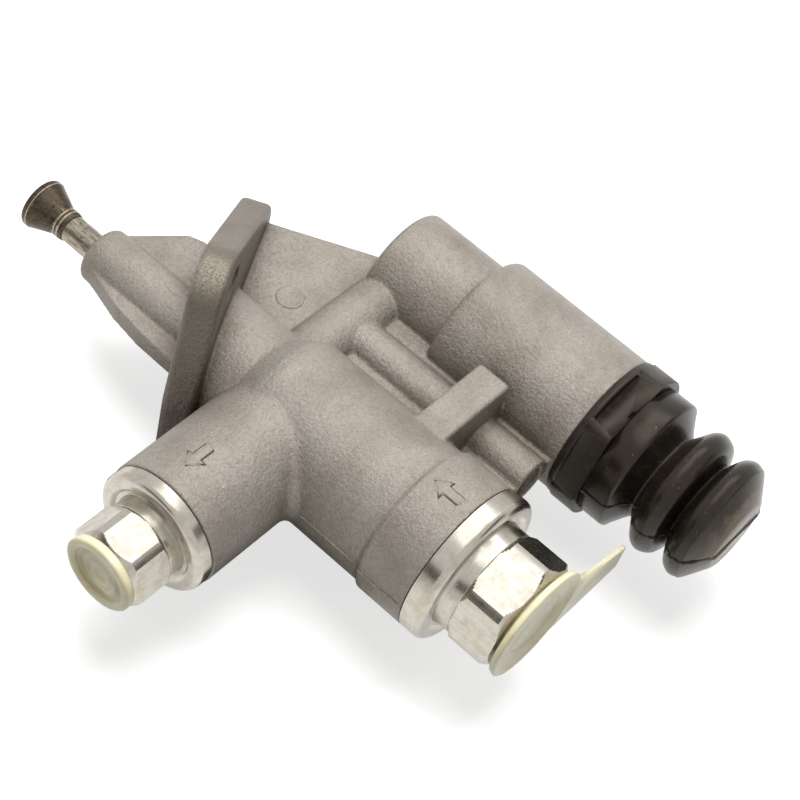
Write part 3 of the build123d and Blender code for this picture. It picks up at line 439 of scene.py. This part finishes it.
def moulded_nylon(colours):
    """Black nylon, injection moulded: half gloss with faint scuffs."""
    material, tree, place = finish("nylon_black_moulded")
    scuff = grains(tree, place, 1.6, 4.0, 0.65)
    edges = node(tree, "Bevel", {"Radius": 0.12 * MM}, samples=6)
    surface(tree, {
        "Base Color": stained(tree, tuple(colours.nylon), (scuff, 0.52, 0.75, 0.0, 0.25, linear("#4A4542"))),
        "Roughness": node(tree, "MapRange", (scuff, 0.3, 0.7, 0.34, 0.50)),
        "Normal": relief(tree, edges, (scuff, 0.03, 0.4)),
        "Specular IOR Level": 0.45,
        "Specular Tint": linear("#F2E2CE"),
    })
    return material


def soft_plastic(colours, along, centre, dish=False):
    """Natural polyethylene, moulded: milky and yellowish, with flow rings; its dish is painted darker, as painted shade
    from the dark port behind it.
    """
    material, tree, place = finish(f"polyethylene_{'dish' if dish else 'rim'}_{along}")
    _, radius = around(tree, place, along, centre)
    cloud = grains(tree, place, 6.0, 3.0, 0.5)
    wavy = node(tree, "Math", (cloud, 2.6 * MM, radius), operation="MULTIPLY_ADD")
    ring_width = 2.3 * MM
    turns = node(tree, "Math", (wavy, 2 * pi / ring_width), operation="MULTIPLY")
    ring = node(tree, "Math", [turns], operation="SINE")
    # The dish's base and cloud colours are darker: painted shade from the dark port behind it
    stains = [(cloud, 0.35, 0.7, 0.0, 0.6, linear("#C4B88C" if dish else "#DBD09C"))]
    if dish:
        stains.append((ring, -1, 1, 0.0, 0.22, linear("#99917A")))
    edges = node(tree, "Bevel", {"Radius": 0.2 * MM}, samples=6)
    surface(tree, {
        "Base Color": stained(tree, linear("#EFE5C0") if dish else tuple(colours.cap), *stains),
        "Normal": relief(tree, edges, (ring, 0.05 if dish else 0.01, 0.5), (cloud, 0.12, 0.3)),
        "Roughness": 0.34,
        "IOR": 1.51,
        "Subsurface Weight": 0.35,
        "Subsurface Radius": (1.0, 0.95, 0.6),
        "Subsurface Scale": 2.0 * MM,
        "Transmission Weight": 0.08 if dish else 0.16,
    })
    return material


# Shapes

def piece(name, mesh, body, slot, *materials, stands_for=(), sharp=35.0):
    """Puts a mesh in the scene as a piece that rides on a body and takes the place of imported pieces."""
    mesh.materials.clear()
    for material in materials:
        mesh.materials.append(material)
    mesh.shade_smooth()
    mesh.set_sharp_from_angle(angle=radians(sharp))
    made = bpy.data.objects.new(name, mesh)
    bpy.context.scene.collection.objects.link(made)
    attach(made, body)
    if stands_for:
        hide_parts(*stands_for)
    return made


def cad_copy(name):
    """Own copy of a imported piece's mesh, with its split vertices joined again."""
    shape = bmesh.new()
    shape.from_mesh(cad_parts[name].data)
    bmesh.ops.remove_doubles(shape, verts=shape.verts, dist=0.002 * MM)
    mesh = bpy.data.meshes.new(name + "_dressed")
    shape.to_mesh(mesh)
    shape.free()
    return mesh


def applied(mesh, *modifiers):
    """Mesh after (kind, settings) modifiers."""
    helper = bpy.data.objects.new("helper", mesh)
    bpy.context.scene.collection.objects.link(helper)
    for kind, settings in modifiers:
        modifier = helper.modifiers.new(kind, kind)
        for key, value in settings.items():
            setattr(modifier, key, value)
    seen = helper.evaluated_get(bpy.context.evaluated_depsgraph_get())
    result = bpy.data.meshes.new_from_object(seen)
    bpy.data.objects.remove(helper)
    return result


def onto(along, x=0.0, y=0.0, z=0.0):
    """Matrix from a lathe's own frame, whose axis is X, to an axis of the pump, in metres."""
    turn = Matrix.Rotation(radians(-90), 4, "Z") if along == "-Y" else Matrix.Identity(4)
    return Matrix.Translation(Vector((x, y, z)) * MM) @ turn


def join_rings(shape, rings, closed=False):
    """Faces from each ring of vertices to the next, and from the last to the first if closed."""
    for here, there in zip(rings, rings[1:] + rings[:1] if closed else rings[1:]):
        for k in range(len(here)):
            after = (k + 1) % len(here)
            shape.faces.new((here[k], there[k], there[after], here[after]))


def mesh_of(shape, name, place=Matrix.Identity(4)):
    """Mesh of a shape that is drawn in millimetres, with its faces turned outwards."""
    bmesh.ops.recalc_face_normals(shape, faces=shape.faces)
    mesh = bpy.data.meshes.new(name)
    shape.to_mesh(mesh)
    shape.free()
    mesh.transform(place @ Matrix.Scale(MM, 4))
    mesh.update()
    return mesh


def hexagon_angles(reach, turn):
    """Angles round a hexagon milled on round bar: close together where the bar is left, between the flats."""
    strip = radians(30) - reach
    angles = []
    for side in range(6):
        middle = radians(turn + 60 * side)
        angles += [middle + reach * k / 9 for k in range(-9, 9)]
        angles += [middle + reach + 2 * strip * k / 5 for k in range(5)]
    return angles


def lathe(name, stations, place, steps=96, flats=None, closed=False):
    """Solid of revolution from (x, radius) stations in millimetres; closed joins the last station to the first.
    Flats are (across flats, turn, first x, last x): between these the bar is cut to a hexagon."""
    angles = [2 * pi * k / steps for k in range(steps)]
    if flats:
        across, turn, first, last = flats
        widest = max(r for x, r in stations if first <= x <= last)
        angles = hexagon_angles(acos(across / 2 / widest), turn)
    shape = bmesh.new()
    rings = []
    for x, r in stations:
        ring = []
        for angle in angles:
            radius = r
            if flats and first <= x <= last:
                offset = (angle - radians(turn) + radians(30)) % radians(60) - radians(30)
                radius = min(r, across / 2 / cos(offset))
            ring.append(shape.verts.new((x, radius * cos(angle), radius * sin(angle))))
        rings.append(ring)
    join_rings(shape, rings, closed)
    if not closed:
        for ring, x in ((rings[0], stations[0][0]), (rings[-1], stations[-1][0])):
            hub = shape.verts.new((x, 0, 0))
            for k in range(len(ring)):
                shape.faces.new((ring[k], ring[(k + 1) % len(ring)], hub))
    return mesh_of(shape, name, place)


def curve_through(points, steps=5):
    """Points of a smooth curve through the given points (Catmull-Rom)."""
    line = [points[0], *points, points[-1]]
    result = []
    for a, b, c, d in zip(line, line[1:], line[2:], line[3:]):
        for k in range(steps):
            t = k / steps
            result.append(tuple(
                0.5 * (2 * q + (r - p) * t + (2 * p - 5 * q + 4 * r - s) * t**2 + (3 * q - p - 3 * r + s) * t**3)
                for p, q, r, s in zip(a, b, c, d)
            ))
    result.append(points[-1])
    return result


def corner(x, r, radius, steps=6):
    """Stations of a rounded outer corner at (x, r), on the side that ends at x."""
    turns = [pi / 2 * k / steps for k in range(steps + 1)]
    return [(x - radius + radius * sin(t), r - radius + radius * cos(t)) for t in turns]


def thread(start, end, r, pitch, depth):
    """Stations of the threads inside a port, drawn as rings, from the mouth inwards."""
    count = int(abs(start - end) / pitch)
    step = (end - start) / count
    result = []
    for k in range(count):
        result += [(start + k * step, r), (start + (k + 0.45) * step, r + depth), (start + (k + 0.6) * step, r + depth)]
    return result + [(end, r)]


def bead(name, points, radius, rough=0.25):
    """Thin ridge of metal or rubber along points in millimetres, uneven as a parting line is."""
    line = curve_through(points, 6)
    shape = bmesh.new()
    rings = []
    for index, spot in enumerate(line):
        ahead = Vector(line[min(index + 1, len(line) - 1)]) - Vector(line[max(index - 1, 0)])
        side = ahead.cross(Vector((0, 0, 1)) if abs(ahead.normalized().z) < 0.9 else Vector((0, 1, 0))).normalized()
        over = side.cross(ahead).normalized()
        end = 0.2 if index in (0, len(line) - 1) else 1.0
        r = radius * end * (1 + rough * (sin(index * 1.7) + sin(index * 0.61 + 2)))
        rings.append([
            shape.verts.new(Vector(spot) + r * (side * cos(pi / 4 * k) + over * sin(pi / 4 * k))) for k in range(8)
        ])
    join_rings(shape, rings)
    shape.faces.new(rings[0])
    shape.faces.new(rings[-1])
    return mesh_of(shape, name)


class PumpOperator:
    """What the pump's operators share."""
    bl_options = {"REGISTER", "UNDO"}


class PUMP_OT_casting(PumpOperator, bpy.types.Operator):
    """Die-cast body with rounded valleys, its flow arrows, parting lines and ejector mark"""
    bl_idname = "pump.casting"
    bl_label = "Casting"

    def execute(self, context):
        sizes = context.scene.pump_sizes
        metal = cast_aluminium(context.scene.pump_colours, sizes)
        mesh = applied(cad_copy("pump_body"), ("REMESH", {"mode": "VOXEL", "voxel_size": sizes.casting_voxel}))
        smooth_casting(mesh, sizes.casting_valley)
        piece("casting_body", mesh, "casting", "cast_body", metal, stands_for=["pump_body"], sharp=50.0)
        flow_arrows(metal)
        parting_lines(metal, sizes.parting_line / MM)
        mark = [(-0.5, 3.7), (0.0, 3.75), (0.13, 3.6), (0.20, 3.35), (0.17, 3.1), (0.07, 2.8), (0.05, 0.6)]
        up = Matrix.Translation(Vector(EJECTOR_MARK) * MM) @ Matrix.Rotation(-pi / 2, 4, "Y")
        piece("ejector_mark", lathe("ejector_mark", mark, up, 48), "casting", "cast_body", metal, sharp=60.0)
        return {"FINISHED"}


def smooth_casting(mesh, passes):
    """Rounds edges and valleys by passes of averaging, and leaves the machined ends and bores as they are."""
    count = len(mesh.vertices)
    where = np.empty(count * 3)
    mesh.vertices.foreach_get("co", where)
    where = where.reshape(-1, 3)
    ends = np.empty(len(mesh.edges) * 2, int)
    mesh.edges.foreach_get("vertices", ends)
    ends = ends.reshape(-1, 2)
    degree = np.bincount(ends.ravel(), minlength=count)[:, None]
    x, y, z = (where / MM).T
    machined = np.minimum.reduce([
        BARREL_END - x + 100 * (np.hypot(y, z) > COLLAR_R + 1),
        y + OUTLET_END + 100 * (y > -OUTLET_END + 6),
        PRIMER_END - x + 100 * (np.hypot(y - PRIMER_Y, z) > PRIMER_R + 1.15),
    ])
    free = np.clip((machined - 0.5) / 1.0, 0.0, 1.0)[:, None]
    for _ in range(passes):
        total = np.zeros_like(where)
        np.add.at(total, ends[:, 0], where[ends[:, 1]])
        np.add.at(total, ends[:, 1], where[ends[:, 0]])
        where = where + 0.6 * free * (total / degree - where)
    mesh.vertices.foreach_set("co", where.ravel())
    mesh.update()


def parting_lines(metal, height):
    """Ridges along the casting where the mould's halves met; the one on the snout is half as high."""
    collar = [(BARREL_END - 14, -COLLAR_R, 0), (BARREL_END - 7, -COLLAR_R, -0.1), (BARREL_END - 0.6, -COLLAR_R, 0)]
    barrel = [(56, -BARREL_R, 0), (64, -BARREL_R, 0.1), (74.5, -BARREL_R, 0)]
    snout = [(-18, 0.6, 7.72), (-12, 0.4, 7.76), (-7, -0.3, 7.74), (-5, -0.4, 7.7)]
    for name, points, share in (
        ("collar_parting_line", collar, 1), ("barrel_parting_line", barrel, 1), ("snout_parting_line", snout, 0.5),
    ):
        piece(name, bead(name, points, height * share), "casting", "cast_body", metal)


def flow_arrows(metal):
    """Raised arrows on the two barrels that show which way the fuel flows, each in a dark rim that is painted shade and
    dirt round its foot.
    """
    # A dark, slightly larger arrow under each one paints the shade and dirt round its foot
    shade_and_dirt_rim = plain_metal("casting_crease", "#4A433A", 0.8, metallic=0.0)
    onto_outlet = Matrix.Translation(Vector((OUTLET_X - 1.3, 15.0 - OUTLET_END, 0))) @ Matrix.Rotation(pi / 2, 4, "Z")
    for name, radius, place in (
        ("inlet_arrow", COLLAR_R, Matrix.Translation(Vector((BARREL_END - 3.2, -1.4, 0)))),
        ("outlet_arrow", OUTLET_R, onto_outlet),
    ):
        piece(name, arrow(name, radius, place, 0.0, 0.36), "casting", "cast_body", metal)
        piece(name + "_crease", arrow(name, radius, place, 0.32, 0.14), "casting", "cast_body", shade_and_dirt_rim)


def arrow(name, radius, place, grow, rise):
    """Raised flow arrow that follows a round barrel and points along -X of its own frame; grow widens its outline."""
    half = [
        (-8.2 - 1.6 * grow, 0), (-5.0 + grow, 2.5 + 1.9 * grow), (-5.0 + grow, 1.2 + grow), (-0.6, 1.2 + grow),
        (grow, 0.6),
    ]
    outline = half + [(x, -y) for x, y in half[:0:-1]]
    spots = []
    for here, there in zip(outline, outline[1:] + outline[:1]):
        parts = max(1, round(max(abs(there[0] - here[0]), abs(there[1] - here[1])) / 0.7))
        spots += [tuple(a + (b - a) * k / parts for a, b in zip(here, there)) for k in range(parts)]
    shape = bmesh.new()
    rings = []
    for height in (-0.5, rise):
        ring = []
        for x, y in spots:
            spot = place @ Vector((x, y, 0))
            across = spot.x - OUTLET_X if name.startswith("outlet") else spot.y
            ring.append(shape.verts.new((spot.x, spot.y, sqrt((radius + height) ** 2 - across ** 2))))
        rings.append(ring)
    join_rings(shape, rings)
    shape.faces.new(rings[1])
    shape.faces.new(list(reversed(rings[0])))
    bmesh.ops.recalc_face_normals(shape, faces=shape.faces)
    bmesh.ops.triangulate(shape, faces=[f for f in shape.faces if len(f.verts) > 4])
    mesh = mesh_of(shape, name)
    if grow:
        return mesh
    return applied(mesh, ("BEVEL", {"width": 0.12 * MM, "segments": 2, "limit_method": "ANGLE"}))


class PUMP_OT_push_rod(PumpOperator, bpy.types.Operator):
    """Push rod with its tappet head, clip, bush, seal and retainer"""
    bl_idname = "pump.push_rod"
    bl_label = "Push rod"

    def execute(self, context):
        colours = context.scene.pump_colours
        finishes = [ground_steel(colours, part) for part in ("rod", "head", "ring")]
        mesh = lathe("push_rod", rod_stations(), onto("X"), 72)
        made = piece("push_rod", mesh, "rod", "rod_steel", *finishes, stands_for=["pushrod"], sharp=28.0)
        bright = ((1.9, 2.2), (9.0, 9.7), (10.2, 10.9))
        for polygon in made.data.polygons:
            along = polygon.center.x / MM - TAPPET_FACE
            in_ring = any(start < along < end for start, end in bright)
            polygon.material_index = 2 if in_ring else int(along < 12.3)
        dress("pushrod_clip", plain_metal("spring_steel_clip", "#5A5955", 0.35))
        dress("pushrod_bush", plain_metal("bearing_bronze", "#A6865A", 0.4))
        dress("seal_retainer", plain_metal("zinc_plated_washer", "#9C9A96", 0.4))
        dress("pushrod_seal", moulded_rubber(colours))
        return {"FINISHED"}


def rod_stations():
    """Outside of the push rod: the flared head, its cone, two ring grooves, the rod and the groove of its clip."""
    head = [(0.0, 3.2), (0.22, 5.6), (0.42, 6.6), (0.62, 6.95), (0.95, 7.1), (1.95, 7.1), (2.15, 6.98), (2.4, 6.84)]
    cone = [(2.4 + 6.2 * k / 6, 6.84 - 2.54 * k / 6) for k in range(1, 7)]
    rings = [
        (9.0, 4.30), (9.15, 4.02), (9.35, 3.98), (9.55, 4.02), (9.7, 4.30), (10.2, 4.30), (10.35, 4.08),
        (10.55, 4.04), (10.75, 4.08), (10.9, 4.28), (11.8, 4.12), (12.15, 3.95), (12.3, ROD_R),
    ]
    clip_start, clip_end = low("pushrod_clip").x - 0.05, high("pushrod_clip").x + 0.05
    shank = [(-20, ROD_R), (0, ROD_R), (clip_start, ROD_R), (clip_start, ROD_R - 0.8), (clip_end, ROD_R - 0.8)]
    piston = high("pushrod").x
    tail = [(clip_end, ROD_R), (piston - 0.4, ROD_R), (piston, 3.4)]
    return [(TAPPET_FACE + x, r) for x, r in head + cone + rings] + shank + tail


def dress(name, material):
    """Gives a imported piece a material."""
    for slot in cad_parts[name].material_slots:
        slot.material = material


class PUMP_OT_piston(PumpOperator, bpy.types.Operator):
    """Piston, its ring and its return spring"""
    bl_idname = "pump.piston"
    bl_label = "Piston"

    def execute(self, context):
        colours = context.scene.pump_colours
        dress("pump_piston", plain_metal("turned_piston_aluminium", "#B9B5AD", 0.3))
        dress("piston_ring", moulded_rubber(colours))
        spring("piston_spring")
        return {"FINISHED"}


def spring(name):
    """Copy of an imported spring in spring wire, which rides on the casting in its place."""
    wire = bpy.data.materials.get("spring_wire") or plain_metal("spring_wire", "#6A6863", 0.32)
    made = piece(name + "_wire", cad_copy(name), "casting", "spring_steel", wire, stands_for=[name])
    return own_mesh(made)


class PUMP_OT_inlet(PumpOperator, bpy.types.Operator):
    """Inlet fitting with its ring, valve, cage and spring"""
    bl_idname = "pump.inlet"
    bl_label = "Inlet fitting"

    def execute(self, context):
        screwed_fitting(context, INLET)
        spring("inlet_valve_spring")
        return {"FINISHED"}


class PUMP_OT_outlet(PumpOperator, bpy.types.Operator):
    """Outlet fitting with its ring, valve, cage and spring"""
    bl_idname = "pump.outlet"
    bl_label = "Outlet fitting"

    def execute(self, context):
        screwed_fitting(context, OUTLET)
        spring("outlet_valve_spring")
        return {"FINISHED"}


def screwed_fitting(context, fit):
    """Turned and milled fitting with its threaded port, and what lies inside it."""
    colours, sizes = context.scene.pump_colours, context.scene.pump_sizes
    along = fit.faces[-1]
    turned = turned_aluminium(f"{fit.name}_aluminium_turned", colours, sizes, along, fit.centre)
    milled = turned_aluminium(f"{fit.name}_aluminium_milled", colours, sizes, along, fit.centre, flats=True)
    stations = [(fit.end + x, r) for x, r in fitting_outside(fit) + fitting_inside(fit)]
    flats = (fit.across, fit.turn, fit.end + fit.hexagon - 0.5, fit.end + fit.length)
    name = f"{fit.name}_union"
    mesh = lathe(name, stations, onto(fit.faces, *fit.centre), flats=flats, closed=True)
    made = piece(
        name, mesh, "casting", "turned_aluminium", turned, milled, stands_for=[f"{fit.name}_fitting"], sharp=20.0
    )
    axis = "XYZ".index(along)
    for polygon in made.data.polygons:
        outwards = polygon.center - Vector(fit.centre) * MM
        outwards[axis] = 0
        level = abs(polygon.normal[axis]) < 0.01
        on_flat = abs(outwards.dot(polygon.normal) - fit.across / 2 * MM) < 0.02 * MM
        polygon.material_index = int(level and on_flat)
    steel = plain_metal(f"{fit.name}_valve_steel", "#8F8E8C", 0.3)
    dress(f"{fit.name}_valve", steel)
    dress(f"{fit.name}_valve_cage", steel)
    dress(f"{fit.name}_ring", moulded_rubber(colours))


def fitting_outside(fit):
    """Outside of a fitting: spigot with its ring groove, flange, undercut and chamfered hexagon."""
    spigot, disc, rim, bar = fit.spigot_r, fit.disc_r, fit.rim, fit.bar_r
    stations = [(-fit.spigot, spigot - 0.6), (0.6 - fit.spigot, spigot), (-4.25, spigot), (-4.25, spigot - 2.4)]
    stations += [(-1.55, spigot - 2.4), (-1.55, spigot), (0.0, spigot), (0.0, disc - 0.35), (0.3, disc)]
    stations += corner(rim, disc, fit.rounding) + [(rim - 0.05, bar + 1.6), (rim - 0.25, bar + 1.2)]
    stations += [(rim - 0.9, bar + 0.5), (rim - 0.9, bar - 0.5), (rim - 0.1, bar - 0.75), (rim + 1.0, bar - 0.9)]
    stations += [(fit.hexagon - 0.55, bar - 0.9), (fit.hexagon - 0.5, bar - 1.0)]
    stations += [(fit.hexagon - 0.45 + 1.1 * k / 6, bar - 1.0 + 1.0 * k / 6) for k in range(7)]
    return stations + [(fit.length - 1.5 + 1.5 * k / 7, bar - 1.5 * k / 7) for k in range(8)]


def fitting_inside(fit):
    """Inside of a fitting, from the mouth of its threaded port to the valve's chamber."""
    floor = fit.length - fit.port
    stations = [(fit.length, fit.port_r + 0.8), (fit.length - 0.8, fit.port_r)]
    stations += thread(fit.length - 1.4, floor + 1.0, fit.port_r, 1.5, 0.55)
    stations += [(floor, fit.port_r), (floor, fit.passage_r), (fit.seat, fit.passage_r)]
    return stations + [(fit.seat, fit.chamber_r), (-fit.spigot, fit.chamber_r)]


class PUMP_OT_caps(PumpOperator, bpy.types.Operator):
    """Transit caps in the two ports"""
    bl_idname = "pump.caps"
    bl_label = "Transit caps"

    def execute(self, context):
        for fit in (INLET, OUTLET):
            transit_cap(context.scene.pump_colours, fit)
        return {"FINISHED"}


def transit_cap(colours, fit):
    """Cap of one port, milky at its rim and thinner in the dish at its middle, which is painted darker as shade from
    the port.
    """
    along = fit.faces[-1]
    axis = "XYZ".index(along)
    finishes = [soft_plastic(colours, along, fit.centre), soft_plastic(colours, along, fit.centre, dish=True)]
    made = piece(
        f"{fit.name}_transit_cap", cad_copy(f"{fit.name}_cap"), f"{fit.name}_cover", "cap_plastic", *finishes,
        stands_for=[f"{fit.name}_cap"], sharp=40.0,
    )
    for polygon in made.data.polygons:
        spokes = [made.data.vertices[k].co - Vector(fit.centre) * MM for k in polygon.vertices]
        widest = max(sqrt(spoke.length_squared - spoke[axis] ** 2) for spoke in spokes)
        polygon.material_index = int(widest < (fit.dish_r + 0.2) * MM)


class PUMP_OT_primer(PumpOperator, bpy.types.Operator):
    """Primer collar, boot, plunger, rings, clip and spring"""
    bl_idname = "pump.primer"
    bl_label = "Hand primer"

    def execute(self, context):
        colours = context.scene.pump_colours
        nylon, rubber = moulded_nylon(colours), moulded_rubber(colours)
        piece("collar_nut", cad_copy("primer_collar"), "casting", "collar_plastic", nylon,
              stands_for=["primer_collar"], sharp=25.0)
        boot = piece("bellows_boot", boot_mesh(), "casting", "boot_rubber", rubber,
                     stands_for=["primer_boot"], sharp=60.0)
        flash = piece("boot_parting_line", boot_flash(), "casting", "boot_rubber", rubber, sharp=60.0)
        for made in (boot, flash):
            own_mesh(made)
        spring("primer_spring")
        dress("primer_plunger", nylon)
        dress("primer_seal", rubber)
        dress("collar_ring", rubber)
        dress("primer_clip", plain_metal("spring_steel_primer_clip", "#5A5955", 0.35))
        return {"FINISHED"}


def boot_outside():
    """Outside of the bellows, from the cuff to the flat end, as (x, radius) stations."""
    cuff = BOOT_START + 7.8
    folds = [
        (0, 18.1), (2.7, 13.9), (4.2, 12.6), (5.5, 14.2), (7.6, 17.1), (9.6, 18.2), (11.6, 17.9), (13.6, 16.5),
        (14.9, 13.3), (15.5, 12.3), (16.3, 13.9), (17.9, 16.5), (20.2, 17.7), (22.2, 17.3), (23.4, 16.4),
    ]
    folds = [(cuff + x, r) for x, r in folds] + [(BOOT_END - 1.0, 10.6)]
    straight = [(BOOT_START, 18.8), (BOOT_START + 0.3, 19.1), (cuff - 1.0, 19.1), (cuff - 0.4, 18.9)]
    return straight + curve_through(folds, 6) + [(BOOT_END - 0.75, 10.0), (BOOT_END - 0.6, 9.6)]


def boot_mesh():
    """Bellows with smooth folds and a wall of one thickness."""
    outside = boot_outside()
    inside = [(x, r - 1.7) for x, r in outside[:-2]]
    stations = [(BOOT_END - 2.2, 0.5), (BOOT_END - 2.2, 8.6)] + inside[::-1] + outside + [(BOOT_END - 0.6, 0.5)]
    return lathe("bellows_boot", stations, onto("X", 0, PRIMER_Y), steps=128)


def boot_flash():
    """Rubber flash where the mould's halves met, on both sides of the boot and across its end."""
    height = 0.42
    side = boot_outside()
    path = [(x, -r) for x, r in side] + [(BOOT_END - 0.6, y) for y in (-6, -2, 2, 6)] + side[::-1]
    shape = bmesh.new()
    rows = []
    for index, (x, y) in enumerate(path):
        ahead = Vector(path[min(index + 1, len(path) - 1)]) - Vector(path[max(index - 1, 0)])
        out = Vector((ahead.y, -ahead.x)).normalized()
        rise = height * (1 + 0.25 * sin(index * 1.9) + 0.2 * sin(index * 0.73))
        foot = Vector((x, y)) - out * 0.3
        tip = Vector((x, y)) + out * rise
        tip.x = min(tip.x, BOOT_END - 0.05)
        shift = 0.12 * sin(index * 0.9)
        rows.append([
            shape.verts.new((spot.x, PRIMER_Y + spot.y, z))
            for spot, z in ((foot, -0.34), (tip, shift - 0.08), (tip, shift + 0.08), (foot, 0.34))
        ])
    join_rings(shape, rows)
    shape.faces.new(rows[0])
    shape.faces.new(rows[-1])
    return mesh_of(shape, "boot_parting_line")


class PUMP_OT_gallery(PumpOperator, bpy.types.Operator):
    """Check valve and plug of the gallery between the primer and the pump barrel"""
    bl_idname = "pump.gallery"
    bl_label = "Gallery"

    def execute(self, context):
        steel = plain_metal("gallery_steel", "#8F8E8C", 0.3)
        for name in ("transfer_seat", "transfer_ball", "gallery_plug"):
            dress(name, steel)
        spring("transfer_spring")
        return {"FINISHED"}


class PUMP_OT_stage(PumpOperator, bpy.types.Operator):
    """Pale floor, soft lights and the camera"""
    bl_idname = "pump.stage"
    bl_label = "Stage"

    def execute(self, context):
        lowest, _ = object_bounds()
        floor = sheet("floor", 6.0, 6.0, floor_material(context.scene.pump_colours))
        floor.location = (0.05, 0.02, lowest.z - 0.2 * MM)
        black, tree, _ = finish("black_flag")
        surface(tree, {"Base Color": linear("#2A2724")})
        things = [
            floor,
            softbox("overhead_softbox", (-0.08, 0.04, 0.66), 0.46, 0.50, 1.2),
            softbox("back_softbox", (-0.10, 0.44, 0.62), 0.60, 0.30, 1.2),
            softbox("overhead_fill", (-0.05, 0.02, 0.70), 0.40, 0.40, 6.5, glossy=False),
            flag("front_flag", (-0.22, -0.66, 0.26), 0.60, 0.24, black),
            flag("side_flag", (0.52, 0.33, 0.26), 0.44, 0.22, black),
            # A black card under the pump paints the floor's shade into reflections on its undersides
            flag("under_shade_flag", (-0.022, -0.025, -0.031), 0.095, 0.08, black),
            photograph_camera(),
        ]
        white_world(context.scene)
        context.scene.view_settings.view_transform = "Standard"
        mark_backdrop(*things)
        return {"FINISHED"}


def stand(name, data, place=(0, 0, 0)):
    """Object of the stage, at a place in metres from the middle of the pump."""
    made = bpy.data.objects.new(name, data)
    made.location = AIM + Vector(place)
    bpy.context.scene.collection.objects.link(made)
    return made


def sheet(name, width, height, material, place=(0, 0, 0)):
    """Flat rectangle of the stage."""
    mesh = bpy.data.meshes.new(name)
    x, y = width / 2, height / 2
    mesh.from_pydata([(-x, -y, 0), (x, -y, 0), (x, y, 0), (-x, y, 0)], [], [(0, 1, 2, 3)])
    mesh.materials.append(material)
    return stand(name, mesh, place)


def softbox(name, place, width, height, power, glossy=True):
    """Soft lamp that faces the pump; one that isn't glossy adds light without a reflection."""
    lamp = bpy.data.lights.new(name, "AREA")
    lamp.shape = "RECTANGLE"
    lamp.size, lamp.size_y = width, height
    lamp.energy = power
    holder = stand(name, lamp, place)
    holder.rotation_euler = Vector(place).to_track_quat("Z", "Y").to_euler()
    holder.visible_glossy = glossy
    return holder


def flag(name, place, width, height, black):
    """Black card that shows in reflections alone: it faces the pump, or lies flat if it is under it, where it paints
    the floor's shade into reflections.
    """
    card = sheet(name, width, height, black, place)
    if place[2] > 0:
        card.rotation_euler = Vector(place).to_track_quat("Z", "Y").to_euler()
    card.visible_camera = card.visible_diffuse = card.visible_shadow = card.visible_transmission = False
    return card


def photograph_camera():
    """Camera at the photograph's viewing angle."""
    camera = stand("camera", bpy.data.cameras.new("camera"))
    camera.data.lens = SENSOR * FOCAL_LENGTH / PICTURE_WIDTH
    camera.data.sensor_width = SENSOR
    camera.data.clip_start, camera.data.clip_end = 0.01, 20
    back = Vector((sin(AZIMUTH) * cos(ELEVATION), -cos(AZIMUTH) * cos(ELEVATION), sin(ELEVATION)))
    right = Vector((cos(AZIMUTH), sin(AZIMUTH), 0))
    up = back.cross(right)
    right, up = right * cos(ROLL) + up * sin(ROLL), up * cos(ROLL) - right * sin(ROLL)
    turn = Matrix((right, up, back)).transposed().to_4x4()
    camera.matrix_world = Matrix.Translation(AIM + back * DISTANCE) @ turn
    bpy.context.scene.camera = camera
    return camera


def background_rays(tree):
    """1 for the rays that show the background: from the camera, and through or off a shiny surface."""
    rays = node(tree, "LightPath")
    shown = rays.outputs["Is Camera Ray"]
    for kind in ("Is Glossy Ray", "Is Transmission Ray"):
        shown = node(tree, "Math", (shown, rays.outputs[kind]), operation="MAXIMUM")
    return shown


def floor_material(colours):
    """Matte paper sweep, which shows pale grey and keeps the shadow."""
    material, tree, _ = finish("paper_sweep")
    surface(tree, {
        "Base Color": tuple(colours.floor),
        "Roughness": 0.9,
        "Specular IOR Level": 0.1,
        "Emission Color": (1, 1, 1, 1),
        "Emission Strength": node(tree, "Math", (background_rays(tree), FLOOR_GLOW), operation="MULTIPLY"),
    })
    return material


def white_world(scene):
    """White surroundings that light the object softly."""
    world = bpy.data.worlds.new("studio")
    world.use_nodes = True
    tree = world.node_tree
    tree.nodes.clear()
    strength = node(tree, "MapRange", (background_rays(tree), 0.0, 1.0, SKY_LIGHT, 1.0))
    sky = node(tree, "Background", {"Color": (1, 1, 1, 1), "Strength": strength})
    node(tree, "OutputWorld", {"Surface": sky})
    scene.world = world


OPERATORS = [
    PUMP_OT_casting, PUMP_OT_push_rod, PUMP_OT_piston, PUMP_OT_inlet, PUMP_OT_outlet, PUMP_OT_caps,
    PUMP_OT_primer, PUMP_OT_gallery, PUMP_OT_stage,
]


class PUMP_PT_panel(bpy.types.Panel):
    """Buttons for the pump's pieces, and the sizes and colours they use"""
    bl_idname = "PUMP_PT_panel"
    bl_label = "Lift pump"
    bl_space_type = "VIEW_3D"
    bl_region_type = "UI"
    bl_category = "Lift pump"

    def draw(self, context):
        column = self.layout.column()
        for operator in OPERATORS:
            column.operator(operator.bl_idname)
        for group in (context.scene.pump_sizes, context.scene.pump_colours):
            for name in group.__annotations__:
                column.prop(group, name)


CLASSES = [PumpSizes, PumpColours, *OPERATORS, PUMP_PT_panel]


def register():
    """Makes the classes and their properties known to Blender."""
    for kind in CLASSES:
        bpy.utils.register_class(kind)
    bpy.types.Scene.pump_sizes = bpy.props.PointerProperty(type=PumpSizes)
    bpy.types.Scene.pump_colours = bpy.props.PointerProperty(type=PumpColours)


def unregister():
    """Takes them away again."""
    del bpy.types.Scene.pump_sizes
    del bpy.types.Scene.pump_colours
    for kind in reversed(CLASSES):
        bpy.utils.unregister_class(kind)


def main():
    """Builds every group of pieces and the stage."""
    register()
    for name in ("casting", "push_rod", "piston", "inlet", "outlet", "caps", "primer", "gallery", "stage"):
        getattr(bpy.ops.pump, name)()


if __name__ == "__main__":
    main()
